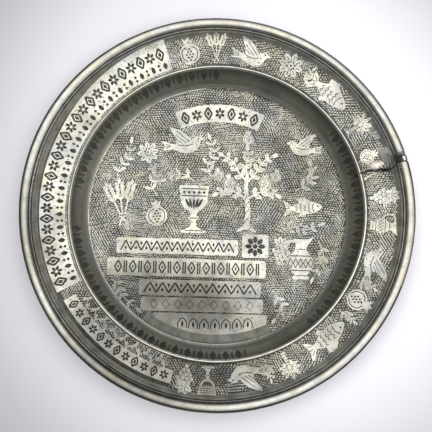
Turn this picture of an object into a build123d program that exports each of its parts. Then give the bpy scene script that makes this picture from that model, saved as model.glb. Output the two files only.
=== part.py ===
from build123d import *
import os
from math import atan2, cos, degrees, hypot, radians, sin, tan

# A broad-rimmed pewter seder plate, built up from a bowl, a flange and an edge strip.
# The frame: the plate lies face up, +Z is its axis, and the origin is the centre of its resting face.
# Sizes are in millimetres and angles in degrees. A section point is (distance from the axis, height).

# Overall: the mouth and the rim together make the plate 360 across
MOUTH_DIAMETER = 269.0  # where the wall's inner line meets the seat
RIM_WIDTH = 45.5  # from the mouth to the plate's outer edge
SHEET = 1.8  # thickness of the bowl's and the flange's metal

# Bowl: a flat floor, a steep wall and a seat turned out at its mouth
FLOOR_DIAMETER = 246.0  # where the wall's inner line meets the floor
BOWL_HEIGHT = 26.0  # resting face to the seat, at the mouth
FLOOR_BEND = 10.0  # inside radius between floor and wall
MOUTH_BEND = 1.0  # radius over which the wall turns out into the seat
SEAT_WIDTH = 7.5  # carries the lip wire and the flange

# Flange: a broad ring that rises outwards, then a hollow, then a level ledge under the edge strip
FLANGE_SLOPE = 8.0
HOLLOW_WIDTH = 9.5
HOLLOW_END_SLOPE = 36.0

# Lip wire: dresses the seam between bowl and flange
LIP_WIRE_WIDTH = 1.9
LIP_WIRE_CROWN = 0.7  # how far its top stands over the flange
LIP_WIRE_BEVEL = 0.6  # width of the bevel along each side of its top
LIP_WIRE_JOINT = 0.4  # butt joint where the wire's two ends meet

# Edge strip: a fine reed, a groove and a broad half-round bead, with a skirt over the flange's edge
REED_WIDTH = 1.4
REED_HEIGHT = 0.9
GROOVE_WIDTH = 1.7
GROOVE_FLOOR = 0.3  # metal left under the groove
BEAD_WIDTH = 8.6
BEAD_HEIGHT = 2.8
SKIRT_THICKNESS = 1.4
SKIRT_DROP = 0.8  # how far the skirt hangs below the ledge's underside

# Solder fillets underneath
SEAM_SOLDER_LEG = 1.4
EDGE_SOLDER_LEG = 0.7

# Old break in the rim: a crack across the flange and a gap in the edge strip
BREAK_ANGLE = 16.3  # counter-clockwise from +X
CRACK_WIDTH = 0.6
CRACK_BENDS = [  # (share of the flange's width, distance aside)
    (0.0, 0.2),
    (0.2, 1.7),
    (0.47, -1.6),
    (0.7, -3.2),
    (0.84, 0.0),
    (1.0, 0.0),
]
CRACK_OVERRUN = 1.0  # how far the cutting shape passes the flange's edges

# Repair: a short bead piece in the gap, a solder run on the crack and solder wiped over the flange beside it
INSERT_LENGTH = 5.2
INSERT_WIDTH = 5.4
INSERT_GAP = 0.7  # open joint at each end of the insert
RUN_LENGTH = 13.0
RUN_WIDTH = 5.0
RUN_HEIGHT = 0.5
RUN_OUT = 15.0  # from the lip wire to the middle of the run
RUN_ASIDE = 1.4  # the run's middle lies this far counter-clockwise of the break
WIPE_LENGTH = 15.0
WIPE_WIDTH = 9.0
WIPE_HEIGHT = 0.3
WIPE_IN = 6.6  # from the edge strip to the middle of the wipe
WIPE_ASIDE = 10.5

FULL_TURN = 360.0

# Radii and heights that follow from the driving dimensions
floor_radius = FLOOR_DIAMETER / 2
mouth_radius = MOUTH_DIAMETER / 2
plate_radius = mouth_radius + RIM_WIDTH
seat_radius = mouth_radius + SEAT_WIDTH
strip_radius = plate_radius - BEAD_WIDTH - GROOVE_WIDTH - REED_WIDTH
hollow_radius = strip_radius - HOLLOW_WIDTH
flange_radius = plate_radius - SKIRT_THICKNESS
slope = tan(radians(FLANGE_SLOPE))
wall_run = mouth_radius - floor_radius
wall_rise = BOWL_HEIGHT - SHEET
wall_angle = degrees(atan2(wall_rise, wall_run))
mouth_turn = radians(wall_angle - FLANGE_SLOPE)
wire_inner = mouth_radius + MOUTH_BEND * tan(mouth_turn / 2) * cos(radians(FLANGE_SLOPE))
wire_outer = wire_inner + LIP_WIRE_WIDTH
hollow_bend = HOLLOW_WIDTH / (sin(radians(HOLLOW_END_SLOPE)) - sin(radians(FLANGE_SLOPE)))


def seat_height(radius):
    """Height of the bowl's seat, which is also the flange's underside up to the hollow."""
    return BOWL_HEIGHT + (radius - mouth_radius) * slope


def face_height(radius):
    """Height of the flange's upper face up to the hollow."""
    return seat_height(radius) + SHEET


def hollow_point(angle):
    """Point of the hollow's upper face where it slopes by the given angle."""
    run = hollow_bend * (sin(radians(angle)) - sin(radians(FLANGE_SLOPE)))
    rise = hollow_bend * (cos(radians(FLANGE_SLOPE)) - cos(radians(angle)))
    return (hollow_radius + run, face_height(hollow_radius) + rise)


ledge_height = hollow_point(HOLLOW_END_SLOPE)[1]
skirt_foot = ledge_height - SHEET - SKIRT_DROP


def lowered(point, drop):
    """The same section point, lower down."""
    return (point[0], point[1] - drop)


def section(*edges):
    """Upright face through the axis, from edges drawn as (distance from the axis, height)."""
    return Plane.XZ * make_face(Curve() + list(edges))


def outline(*points):
    """Straight edges through section points."""
    return Polyline(*points)


def ring(face):
    """Full turn of a section about the plate's axis."""
    return revolve(face, axis=Axis.Z)


def arc_of_ring(face, start_angle, turn):
    """Part of a turn of a section, counter-clockwise from the start angle."""
    return Rot(Z=start_angle) * revolve(face, axis=Axis.Z, revolution_arc=turn)


def edge_angle(length):
    """Angle that a length along the plate's outer edge takes up."""
    return degrees(length / plate_radius)


def open_ring(face, gap):
    """Ring of a section that is left open over an angle, counter-clockwise from the break."""
    return arc_of_ring(face, BREAK_ANGLE + gap, FULL_TURN - gap)


def hollow_edge(drop):
    """Arc of the hollow's upper face, lowered by a drop."""
    slopes = (FLANGE_SLOPE, (FLANGE_SLOPE + HOLLOW_END_SLOPE) / 2, HOLLOW_END_SLOPE)
    return ThreePointArc(*[lowered(hollow_point(angle), drop) for angle in slopes])


def face_edges(drop):
    """The flange's upper face up to the hollow, its inner edge, and the same face lowered by a drop."""
    inner = (wire_outer, face_height(wire_outer))
    outer = hollow_point(FLANGE_SLOPE)
    return outline(outer, inner, lowered(inner, drop), lowered(outer, drop))


def flange_skin(thickness):
    """Ring that covers the flange's whole upper face, up to the edge strip, to a given thickness."""
    end = hollow_point(HOLLOW_END_SLOPE)
    side = outline(end, lowered(end, -thickness))
    return ring(section(face_edges(-thickness), hollow_edge(0), hollow_edge(-thickness), side))


def whole_flange():
    """The flange before it cracked, with the ledge that carries the edge strip."""
    end = hollow_point(HOLLOW_END_SLOPE)
    ledge_edge = (flange_radius, ledge_height)
    ledge = outline(end, ledge_edge, lowered(ledge_edge, SHEET), lowered(end, SHEET))
    return ring(section(face_edges(SHEET), hollow_edge(0), hollow_edge(SHEET), ledge))


def crack_space():
    """Bent slot right through the flange, as tall as the plate."""
    along = Vector(cos(radians(BREAK_ANGLE)), sin(radians(BREAK_ANGLE)))
    aside = Vector(-along.Y, along.X)
    flange_width = flange_radius - wire_outer
    middle = [along * (wire_outer + share * flange_width) + aside * offset for share, offset in CRACK_BENDS]
    middle = [middle[0] - along * CRACK_OVERRUN, *middle, middle[-1] + along * CRACK_OVERRUN]
    left = [point + aside * (CRACK_WIDTH / 2) for point in middle]
    right = [point - aside * (CRACK_WIDTH / 2) for point in middle]
    return extrude(make_face(Polyline(*left, *reversed(right), close=True)), amount=2 * ledge_height)


def oval_space(distance, aside, along_radius, along_edge):
    """Oval column over the break, placed by its distance from the axis and its offset aside."""
    angle = BREAK_ANGLE + degrees(aside / distance)
    place = Rot(Z=angle) * Pos(X=distance)
    return extrude(place * Ellipse(along_radius / 2, along_edge / 2), amount=2 * ledge_height)


def bowl():
    """Floor, wall and turned-out seat in one sheet of even thickness."""
    wall_length = hypot(wall_run, wall_rise)
    lean = wall_run / wall_rise
    foot = floor_radius + SHEET * wall_rise / wall_length - SHEET * (1 - wall_run / wall_length) * lean
    corner_height = (BOWL_HEIGHT - SHEET + (foot - mouth_radius) * slope) / (1 - lean * slope)
    corner = (foot + corner_height * lean, corner_height)
    seat_edge = (seat_radius, seat_height(seat_radius))
    points = [
        (0, SHEET),
        (floor_radius, SHEET),
        (mouth_radius, BOWL_HEIGHT),
        seat_edge,
        lowered(seat_edge, SHEET),
        corner,
        (foot, 0),
        (0, 0),
    ]
    bends = [0, FLOOR_BEND, MOUTH_BEND, 0, 0, MOUTH_BEND + SHEET, FLOOR_BEND + SHEET, 0]
    return ring(section(FilletPolyline(*points, radius=bends, close=True)))


def lip_wire():
    """Bevelled wire, bent into a ring, that stands on the seat against the flange's inner edge."""
    inner_top = (wire_inner, face_height(wire_inner))
    outer_top = (wire_outer, face_height(wire_outer))
    inner_crest = (wire_inner + LIP_WIRE_BEVEL, inner_top[1] + LIP_WIRE_CROWN)
    outer_crest = (wire_outer - LIP_WIRE_BEVEL, outer_top[1] + LIP_WIRE_CROWN)
    inner_foot = lowered(inner_top, SHEET)
    outer_foot = lowered(outer_top, SHEET)
    face = section(outline(inner_top, inner_foot, outer_foot, outer_top, outer_crest, inner_crest, inner_top))
    return open_ring(face, degrees(LIP_WIRE_JOINT / wire_outer))


def rim_flange():
    """Broad ring that is split by the crack."""
    return whole_flange() - crack_space()


def bead_top(width):
    """Half-round top of the bead, from its inner foot to the plate's edge."""
    foot = ledge_height + GROOVE_FLOOR
    crest = (plate_radius - width / 2, ledge_height + BEAD_HEIGHT)
    return ThreePointArc((plate_radius - width, foot), crest, (plate_radius, foot))


def skirt(inner_foot):
    """Edges from the plate's edge down round the skirt and back along the ledge to an inner foot."""
    return outline(
        (plate_radius, ledge_height + GROOVE_FLOOR),
        (plate_radius, skirt_foot),
        (flange_radius, skirt_foot),
        (flange_radius, ledge_height),
        (inner_foot, ledge_height),
    )


def edge_strip():
    """Reed, groove, bead and skirt, as an open ring that stops at the break."""
    reed_end = (strip_radius + REED_WIDTH, ledge_height + GROOVE_FLOOR)
    reed_crest = (strip_radius + REED_WIDTH / 2, ledge_height + REED_HEIGHT)
    reed = ThreePointArc((strip_radius, ledge_height), reed_crest, reed_end)
    groove = outline(reed_end, (reed_end[0] + GROOVE_WIDTH, reed_end[1]))
    face = section(reed, groove, bead_top(BEAD_WIDTH), skirt(strip_radius))
    return open_ring(face, edge_angle(INSERT_LENGTH + 2 * INSERT_GAP))


def bead_insert():
    """Short narrower bead let into the gap of the edge strip."""
    foot = plate_radius - INSERT_WIDTH
    toe = outline((foot, ledge_height), (foot, ledge_height + GROOVE_FLOOR))
    face = section(toe, bead_top(INSERT_WIDTH), skirt(foot))
    return arc_of_ring(face, BREAK_ANGLE + edge_angle(INSERT_GAP), edge_angle(INSERT_LENGTH))


def seam_solder():
    """Fillet underneath, between the seat's edge and the flange."""
    top = (seat_radius, seat_height(seat_radius))
    out = seat_radius + SEAM_SOLDER_LEG
    return ring(section(outline(top, lowered(top, SEAM_SOLDER_LEG), (out, seat_height(out)), top)))


def edge_solder():
    """Fillet underneath, between the ledge and the edge strip's skirt."""
    corner = (flange_radius, ledge_height - SHEET)
    inward = (flange_radius - EDGE_SOLDER_LEG, corner[1])
    return ring(section(outline(corner, lowered(corner, EDGE_SOLDER_LEG), inward, corner)))


def crack_solder():
    """Solder that fills a stretch of the crack and stands over it as a low oval run."""
    space = oval_space(wire_outer + RUN_OUT, RUN_ASIDE, RUN_LENGTH, RUN_WIDTH)
    return (flange_skin(RUN_HEIGHT) & space) + (whole_flange() & crack_space() & space)


def wiped_solder():
    """Thin oval of solder wiped over the flange and into its hollow."""
    space = oval_space(strip_radius - WIPE_IN, WIPE_ASIDE, WIPE_WIDTH, WIPE_LENGTH)
    return flange_skin(WIPE_HEIGHT) & space


os.makedirs("parts", exist_ok=True)
PIECES = (
    bowl,
    lip_wire,
    rim_flange,
    edge_strip,
    bead_insert,
    seam_solder,
    edge_solder,
    crack_solder,
    wiped_solder,
)
for piece in PIECES:
    export_step(piece(), f"parts/{piece.__name__}.step")
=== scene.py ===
import math

import bmesh
import bpy
from mathutils import Matrix, Vector, noise
from mathutils.bvhtree import BVHTree
from mathutils.geometry import delaunay_2d_cdt, interpolate_bezier


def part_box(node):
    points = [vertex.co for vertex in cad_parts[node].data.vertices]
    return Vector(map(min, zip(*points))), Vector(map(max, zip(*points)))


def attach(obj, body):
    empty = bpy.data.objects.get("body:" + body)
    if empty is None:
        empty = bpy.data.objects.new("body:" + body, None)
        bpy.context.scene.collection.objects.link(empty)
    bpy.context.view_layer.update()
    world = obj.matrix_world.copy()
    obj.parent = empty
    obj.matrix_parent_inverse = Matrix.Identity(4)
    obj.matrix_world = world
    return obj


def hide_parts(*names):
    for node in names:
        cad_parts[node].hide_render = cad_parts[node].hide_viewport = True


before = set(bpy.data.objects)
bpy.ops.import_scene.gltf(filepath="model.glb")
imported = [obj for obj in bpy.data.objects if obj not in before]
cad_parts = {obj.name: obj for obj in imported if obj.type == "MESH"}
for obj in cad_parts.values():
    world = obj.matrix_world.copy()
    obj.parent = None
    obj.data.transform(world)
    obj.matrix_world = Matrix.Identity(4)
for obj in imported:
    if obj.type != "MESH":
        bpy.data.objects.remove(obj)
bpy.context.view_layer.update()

bl_info = {
    "name": "Pewter seder plate",
    "version": (1, 0, 0),
    "blender": (4, 5, 0),
    "location": "3D View > Sidebar > Plate",
    "description": "Dresses a broad-rimmed engraved pewter plate with a mended break in its rim",
    "category": "Object",
}

# Drawing units: outlines are drawn in millimetres, and meshes are in metres
MM = 0.001
WELD = 1e-6
RAY_HEIGHT = 0.1  # rays that look for a surface start here, over the plate


def inner_radius(node):
    """Smallest distance of a solid from the plate's axis."""
    return min(math.hypot(v.co.x, v.co.y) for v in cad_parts[node].data.vertices)


# Radii of the plate's own rings, read from its solids
PLATE_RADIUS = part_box("edge_strip")[1].x
FLANGE_INNER = inner_radius("rim_flange")
STRIP_INNER = inner_radius("edge_strip")
WIRE_INNER = inner_radius("lip_wire")
FLANGE_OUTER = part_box("rim_flange")[1].x

# Heights of the engraved faces, and where the handwork on them begins and ends
FLOOR_TOP = 1.8 * MM
RIM_LEVEL = 28.1 * MM  # the flange's upper face at its inner edge
FLOOR_FLAT = 116.7 * MM  # the flat of the floor ends here and bends up into the wall
FLOOR_WORK = FLOOR_FLAT + 4.8 * MM  # the floor's engraving ends here
BARE_BEND = (236, 296)  # between these degrees the floor's edge was never engraved
BARE_RADIUS = 113.4 * MM
REED_SHIFT = 0.9 * MM  # the reed stands this much nearer to the bead than in the solid
HATCH_INNER = 138.4 * MM  # the flange is hatched between these two
HATCH_OUTER = 163.6 * MM
SHAKE = 0.28 * MM  # how far the engraver's hand strays from its rows
ROW_BEND = 12 * MM  # how far the rows of the hatching bend, and over what length
ROW_BEND_LENGTH = 38 * MM
COVER_HEIGHT = 0.05  # the flat cover that keeps the hatching off the repair lies here, over the plate
REED_SPAN = (1.3 * MM, 2.5 * MM)  # top of the reed, from the edge strip's inner edge
BEAD_SPAN = (3.5 * MM, 9.9 * MM)  # bright part of the bead, from the same edge

# The old break, as in the solids: counter-clockwise from +X
BREAK = math.radians(16.3)
CRACK_BENDS = (  # share of the flange's width, and distance aside in millimetres
    (0.0, 0.2),
    (0.05, 0.9),
    (0.2, 0.3),
    (0.38, -0.6),
    (0.5, -2.4),
    (0.64, -3.0),
    (0.84, 0.0),
    (1.0, 0.0),
)
CRACK_WIDTHS = (  # radius and width in millimetres
    (137.0, 0.9),
    (141.0, 1.4),
    (146.0, 2.6),
    (153.0, 2.8),
    (157.5, 1.7),
    (163.0, 0.9),
    (167.5, 1.3),
    (172.0, 0.5),
)
STRIP_GAP = 6.6 * MM
INSERT_GAP = 1.1 * MM
INSERT_LENGTH = 4.4 * MM
WIRE_JOINT = 1.9 * MM
AWAY_FROM_BREAK = BREAK + math.pi

# Darker patches, in millimetres: the middle of each, how far it is full, how far it reaches, and its depth
# from 0 to 1. The first two are painted shade where the light falls off, towards the lower left and the left;
# the three on the floor's lower side are a painted dark reflection; the rest darken the colour there
SHADE_AND_DARK_PATCHES = (
    ((-58, -112, 20), 48, 106, 0.56),
    ((-192, -25, 36), 20, 72, 0.3),
    ((-50, -86, 2), 6, 38, 0.3),
    ((-8, -82, 2), 10, 44, 0.5),
    ((38, -90, 2), 8, 38, 0.42),
    ((26, -148, 32), 16, 60, 0.4),
    ((140, -95, 34), 10, 85, 0.28),
    ((88, 45, 2), 12, 46, 0.26),
    ((161, 48, 34), 4, 16, 0.5),
    ((114, -40, 3), 15, 50, 0.2),
)
BEAD_SHADE = SHADE_AND_DARK_PATCHES[:2]  # the bead takes only the first two: painted shade towards the lower left and the left
WALL_LIGHTER = (((-40, -126, 14), 45, 115, -0.7),)  # the wall's colour is lighter here, so its depth is below zero
WIRE_SHADE_AND_LIGHT = (((-133, 22, 33), 30, 120, 0.18), ((122, -62, 33), 50, 130, -0.28))  # the same for the lip wire: painted shade at the left, painted light at the lower right

# Slow waves of the plate's edge: how many round the plate, how high in millimetres, and where in degrees
EDGE_WAVES = ((1, 0.26, 220), (2, 0.33, 220), (3, 0.24, 48))

# Where the rim's bright panel and ribbon lie, in degrees counter-clockwise from +X
PANEL_START = 109.0
PANEL_END = 208.6
RIBBON_START = 211.8
RIBBON_END = 256.0

# The flange's work, in millimetres from the axis
PANEL_RADII = (139.2, 162.3)
TALL_ROW = 155.6
LOW_ROW = 144.3
RIBBON_RADII = (148.6, 160.4)
RIBBON_ROW = 154.5
VINE_ROW = 144.3
RIM_FOOT = 140.4  # the single figures stand here
TICK_ROW = 138.1
BURR = ((138.3, 13.9), (144.9, 15.0), (149.2, 14.9))  # with degrees: a bright burr below the crack

# The wall's frieze: distances from the axis, degrees from lozenge to lozenge, and depth in millimetres
FRIEZE_LOZENGES = 131.2 * MM
FRIEZE_UPRIGHTS = 131.4 * MM
FRIEZE_PITCH = 5.1
FRIEZE_DEPTH = 0.12

# The photograph's camera: its tilt from upright, the way it leans, its turn against +Y, and its distance
CAMERA_TILT = math.radians(5.6)
CAMERA_LEAN = math.radians(-98.0)
CAMERA_TURN = math.radians(1.5)
CAMERA_DISTANCE = 0.7
CAMERA_LENS = 64.3
CAMERA_SENSOR = 36.0
CAMERA_TARGET = Vector((-0.00164, -0.00482, 0.0345))


def linear(code):
    """Linear colour from an sRGB hex value."""
    shares = [int(code[place : place + 2], 16) / 255 for place in (1, 3, 5)]
    return [s / 12.92 if s <= 0.04045 else ((s + 0.055) / 1.055) ** 2.4 for s in shares]


class PlateSizes(bpy.types.PropertyGroup):
    """Sizes of the handwork that dresses the plate"""

    uneven: bpy.props.FloatProperty(
        name="Unevenness",
        description="How far the rim wanders from a true circle",
        default=0.35 * MM,
        unit="LENGTH",
    )
    relief: bpy.props.FloatProperty(
        name="Relief",
        description="How far the bright figures stand over the hatched ground",
        default=0.34 * MM,
        unit="LENGTH",
    )
    stroke_pitch: bpy.props.FloatProperty(
        name="Stroke pitch",
        description="Distance between neighbouring rows of the hatching",
        default=2.0 * MM,
        unit="LENGTH",
    )
    stroke_length: bpy.props.FloatProperty(
        name="Stroke length",
        description="Length of the longest ridges of the hatching",
        default=2.6 * MM,
        unit="LENGTH",
    )
    stroke_width: bpy.props.FloatProperty(
        name="Stroke width",
        description="Width of one ridge at its foot",
        default=1.35 * MM,
        unit="LENGTH",
    )
    stroke_height: bpy.props.FloatProperty(
        name="Stroke height",
        description="How far a ridge stands over the cut ground",
        default=0.24 * MM,
        unit="LENGTH",
    )
    patch: bpy.props.FloatProperty(
        name="Hatching patch",
        description="Size of a patch in which the strokes run the same way",
        default=13.0 * MM,
        unit="LENGTH",
    )


class PlateColours(bpy.types.PropertyGroup):
    """Colours of the plate's finishes and of the table"""

    bright: bpy.props.FloatVectorProperty(
        name="Rubbed pewter",
        description="Pewter kept bright by rubbing",
        default=linear("#E8E4D6"),
        subtype="COLOR",
    )
    grey: bpy.props.FloatVectorProperty(
        name="Dull pewter",
        description="Pewter that has greyed in the air",
        default=linear("#A6A69F"),
        subtype="COLOR",
    )
    ground: bpy.props.FloatVectorProperty(
        name="Hatched ground",
        description="Grey of the ground between the ridges of the hatching",
        default=linear("#6D6C65"),
        subtype="COLOR",
    )
    patina: bpy.props.FloatVectorProperty(
        name="Patina",
        description="Dark tarnish in cuts and grooves",
        default=linear("#5C5B56"),
        subtype="COLOR",
    )
    solder: bpy.props.FloatVectorProperty(
        name="Solder",
        description="Dull tin solder of the repair",
        default=linear("#9A988F"),
        subtype="COLOR",
    )
    flux: bpy.props.FloatVectorProperty(
        name="Fluxed solder",
        description="Pale solder with flux left on it",
        default=linear("#F8F0EA"),
        subtype="COLOR",
    )
    table: bpy.props.FloatVectorProperty(
        name="Table",
        description="Pale table under the plate",
        default=linear("#BFBEC3"),
        subtype="COLOR",
    )


# Meshes


def new_piece(name, mesh):
    """Object at the origin that shows a mesh."""
    piece = bpy.data.objects.new(name, mesh)
    bpy.context.scene.collection.objects.link(piece)
    return piece


def hand_over(piece, slot, *nodes):
    """The piece rides on the plate and stands for the named solids; its slot is not used."""
    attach(piece, "root")
    if nodes:
        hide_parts(*nodes)


def soften(mesh, sharp=40.0):
    """Smooth shading, with edges sharper than an angle kept crisp."""
    mesh.shade_smooth()
    mesh.set_sharp_from_angle(angle=math.radians(sharp))


def outward(mesh):
    """Turns every face of a closed mesh outwards."""
    work = bmesh.new()
    work.from_mesh(mesh)
    bmesh.ops.recalc_face_normals(work, faces=work.faces)
    work.to_mesh(mesh)
    work.free()


def polar(radius, angle, height):
    """Point at a distance from the axis."""
    return Vector((radius * math.cos(angle), radius * math.sin(angle), height))


def swell(share):
    """Smooth rise from 0 to 1."""
    share = min(max(share, 0.0), 1.0)
    return share * share * (3 - 2 * share)


def settle(mesh):
    """Moves a mesh a little, the same way everywhere, as a hand-raised plate that is no longer true."""
    uneven = bpy.context.scene.plate_sizes.uneven
    for vertex in mesh.vertices:
        place = vertex.co
        angle = math.atan2(place.y, place.x)
        distance = math.hypot(place.x, place.y)
        share = (distance / PLATE_RADIUS) ** 2
        spread = uneven * share * (0.7 * math.sin(2 * angle + 1.9) + 0.4 * math.sin(5 * angle + 0.4))
        outer = swell((distance - FLANGE_INNER) / (PLATE_RADIUS - FLANGE_INNER))
        for count, height, crest in EDGE_WAVES:
            spread += outer * height * MM * math.cos(count * angle - math.radians(crest))
        lift = uneven * share * (0.6 * math.sin(2 * angle + 0.6) + 0.5 * math.sin(3 * angle + 2.1))
        ripple = 0.12 * uneven * noise.noise(place / (14 * MM))
        vertex.co = place + polar(spread, angle, lift + ripple)
        vertex.co.z = max(vertex.co.z, 0)
    mesh.update()


def section_of(node, angle):
    """Outline of a solid where an upright half-plane through the axis cuts it: (radius, height) in order."""
    work = bmesh.new()
    work.from_mesh(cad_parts[node].data)
    bmesh.ops.remove_doubles(work, verts=work.verts, dist=WELD)
    along = polar(1, angle, 0)
    across = Vector((-along.y, along.x, 0))
    for normal in (along, across):
        everything = [*work.verts, *work.edges, *work.faces]
        found = bmesh.ops.bisect_plane(work, geom=everything, plane_co=(0, 0, 0), plane_no=normal)
    beside = {}
    for edge in found["geom_cut"]:
        if isinstance(edge, bmesh.types.BMEdge) and min(v.co.dot(along) for v in edge.verts) > -WELD:
            first, second = edge.verts
            beside.setdefault(first, []).append(second)
            beside.setdefault(second, []).append(first)
    ends = [vertex for vertex, others in beside.items() if len(others) == 1]
    here = max(ends or beside, key=lambda vertex: vertex.co.z)
    line = []
    seen = set()
    while here is not None:
        seen.add(here)
        line.append(Vector((here.co.dot(along), here.co.z)))
        here = next((vertex for vertex in beside[here] if vertex not in seen), None)
    work.free()
    return corners_of(line, closed=not ends)


def corners_of(line, closed):
    """The same line without the points that lie straight between their neighbours."""
    kept = []
    for index, point in enumerate(line):
        before = line[index - 1]
        after = line[(index + 1) % len(line)]
        is_end = not closed and index in (0, len(line) - 1)
        bent = abs((point - before).normalized().cross((after - point).normalized())) > 0.004
        if is_end or bent:
            kept.append(point)
    return kept


def divided(line, longest, closed=True):
    """The same line with points added so that no step is longer than given."""
    result = []
    count = len(line)
    for index in range(count if closed else count - 1):
        start = line[index]
        end = line[(index + 1) % count]
        steps = max(1, math.ceil((end - start).length / longest))
        result.extend(start.lerp(end, step / steps) for step in range(steps))
    if not closed:
        result.append(line[-1])
    return result


def turned_mesh(name, section, steps):
    """Full turn of a section that starts and ends on the axis."""
    points = []
    faces = []
    rings = []
    for radius, height in section:
        count = 1 if radius < WELD else steps
        rings.append(range(len(points), len(points) + count))
        points.extend(polar(radius, math.tau * step / steps, height) for step in range(count))
    for ring, following in zip(rings, rings[1:]):
        for step in range(steps):
            corners = [
                ring[step % len(ring)],
                ring[(step + 1) % steps % len(ring)],
                following[(step + 1) % steps % len(following)],
                following[step % len(following)],
            ]
            faces.append(list(dict.fromkeys(corners)))
    mesh = bpy.data.meshes.new(name)
    mesh.from_pydata(points, [], faces)
    outward(mesh)
    return mesh


def between(pairs, place):
    """Value at a place in a list of (place, value) pairs, in straight steps from pair to pair."""
    for (start, first), (end, second) in zip(pairs, pairs[1:]):
        if place < end:
            return first + (second - first) * max(place - start, 0) / (end - start)
    return pairs[-1][1]


def crack_angle(radius):
    """Angle of the crack's middle line at a distance from the axis."""
    share = (radius - FLANGE_INNER) / (FLANGE_OUTER - FLANGE_INNER)
    return BREAK + between(CRACK_BENDS, share) * MM / radius


def crack_width(radius):
    """How far the crack gapes at a distance from the axis."""
    return between(CRACK_WIDTHS, radius / MM) * MM


def split_ring_mesh(name, section, turns):
    """Turn of a closed section that starts and ends along the crack; turns are shares of the whole way."""
    points = []
    faces = []
    count = len(section)
    for turn in turns:
        for radius, height in section:
            half_gap = crack_width(radius) / 2 / radius
            start = crack_angle(radius) + half_gap
            points.append(polar(radius, start + turn * (math.tau - 2 * half_gap), height))
    for step in range(len(turns) - 1):
        for index in range(count):
            after = (index + 1) % count
            faces.append(
                (
                    step * count + index,
                    step * count + after,
                    (step + 1) * count + after,
                    (step + 1) * count + index,
                )
            )
    faces.append(list(range(count)))
    faces.append(list(range(len(points) - count, len(points))))
    mesh = bpy.data.meshes.new(name)
    mesh.from_pydata(points, [], faces)
    outward(mesh)
    return mesh


def surface_of(*pieces):
    """Search trees of the pieces that something is laid on."""
    found = []
    for piece in pieces:
        work = bmesh.new()
        work.from_mesh(piece.data)
        found.append(BVHTree.FromBMesh(work))
        work.free()
    return found


def height_over(surfaces, place, default):
    """Height of the topmost surface at a place in the plan."""
    above = Vector((place[0], place[1], RAY_HEIGHT))
    hits = [surface.ray_cast(above, Vector((0, 0, -1)))[0] for surface in surfaces]
    return max((hit.z for hit in hits if hit is not None), default=default)


# Node trees


def add(tree, kind, values):
    """Adds a node and gives its outputs; a value is a setting, an input's value or sockets linked to it."""
    node = tree.nodes.new(kind)
    for name, value in values.items():
        sockets = value if isinstance(value, list) else [value]
        if isinstance(sockets[0], bpy.types.NodeSocket):
            for socket in sockets:
                tree.links.new(socket, node.inputs[name])
        elif isinstance(name, int) or name in node.inputs:
            node.inputs[name].default_value = value
        else:
            setattr(node, name, value)
    return node.outputs


def new_tree(name, inputs):
    """Geometry Nodes tree with named inputs, and the sockets that carry them."""
    tree = bpy.data.node_groups.new(name, "GeometryNodeTree")
    tree.interface.new_socket("Geometry", in_out="OUTPUT", socket_type="NodeSocketGeometry")
    for title, kind in inputs.items():
        tree.interface.new_socket(title, in_out="INPUT", socket_type="NodeSocket" + kind)
    return tree, add(tree, "NodeGroupInput", {})


def close_tree(tree, given, geometry):
    """Ends a tree: instances become real and take the material."""
    real = add(tree, "GeometryNodeRealizeInstances", {"Geometry": geometry})
    painted = add(tree, "GeometryNodeSetMaterial", {"Geometry": real[0], "Material": given["Material"]})
    add(tree, "NodeGroupOutput", {0: painted[0]})
    return tree


def grown(name, tree, values):
    """Plain mesh piece from a Geometry Nodes tree whose inputs are set by name."""
    piece = new_piece(name, bpy.data.meshes.new(name))
    modifier = piece.modifiers.new(tree.name, "NODES")
    modifier.node_group = tree
    for item in tree.interface.items_tree:
        if item.in_out == "INPUT":
            modifier[item.identifier] = values[item.name]
    shape = piece.evaluated_get(bpy.context.evaluated_depsgraph_get())
    mesh = bpy.data.meshes.new_from_object(shape)
    piece.modifiers.remove(modifier)
    piece.data = mesh
    mesh.name = name
    return piece


def swept_ring_tree():
    """Profile swept along part of a circle about the plate's axis, with closed ends."""
    inputs = {
        "Profile": "Object",
        "Radius": "Float",
        "Start": "Float",
        "Sweep": "Float",
        "Steps": "Int",
        "Material": "Material",
    }
    tree, given = new_tree("swept_ring", inputs)
    path = add(
        tree,
        "GeometryNodeCurveArc",
        {
            "Resolution": given["Steps"],
            "Radius": given["Radius"],
            "Start Angle": given["Start"],
            "Sweep Angle": given["Sweep"],
        },
    )
    profile = add(tree, "GeometryNodeObjectInfo", {"Object": given["Profile"]})
    sweep = add(
        tree,
        "GeometryNodeCurveToMesh",
        {"Curve": path["Curve"], "Profile Curve": profile["Geometry"], "Fill Caps": True},
    )
    return close_tree(tree, given, sweep["Mesh"])


def swept_ring(name, section, start, sweep, steps, material):
    """Piece swept from a section outline round part of the plate."""
    radius = section[0][0]
    line = bpy.data.curves.new(name + "_profile", "CURVE")
    spline = line.splines.new("POLY")
    spline.points.add(len(section) - 1)
    for point, (distance, height) in zip(spline.points, section):
        point.co = (distance - radius, -height, 0, 1)
    spline.use_cyclic_u = True
    profile = new_piece(name + "_profile", line)
    tree = bpy.data.node_groups.get("swept_ring") or swept_ring_tree()
    values = {
        "Profile": profile,
        "Radius": radius,
        "Start": start,
        "Sweep": sweep,
        "Steps": steps,
        "Material": material,
    }
    piece = grown(name, tree, values)
    bpy.data.objects.remove(profile)
    outward(piece.data)
    return piece


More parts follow.
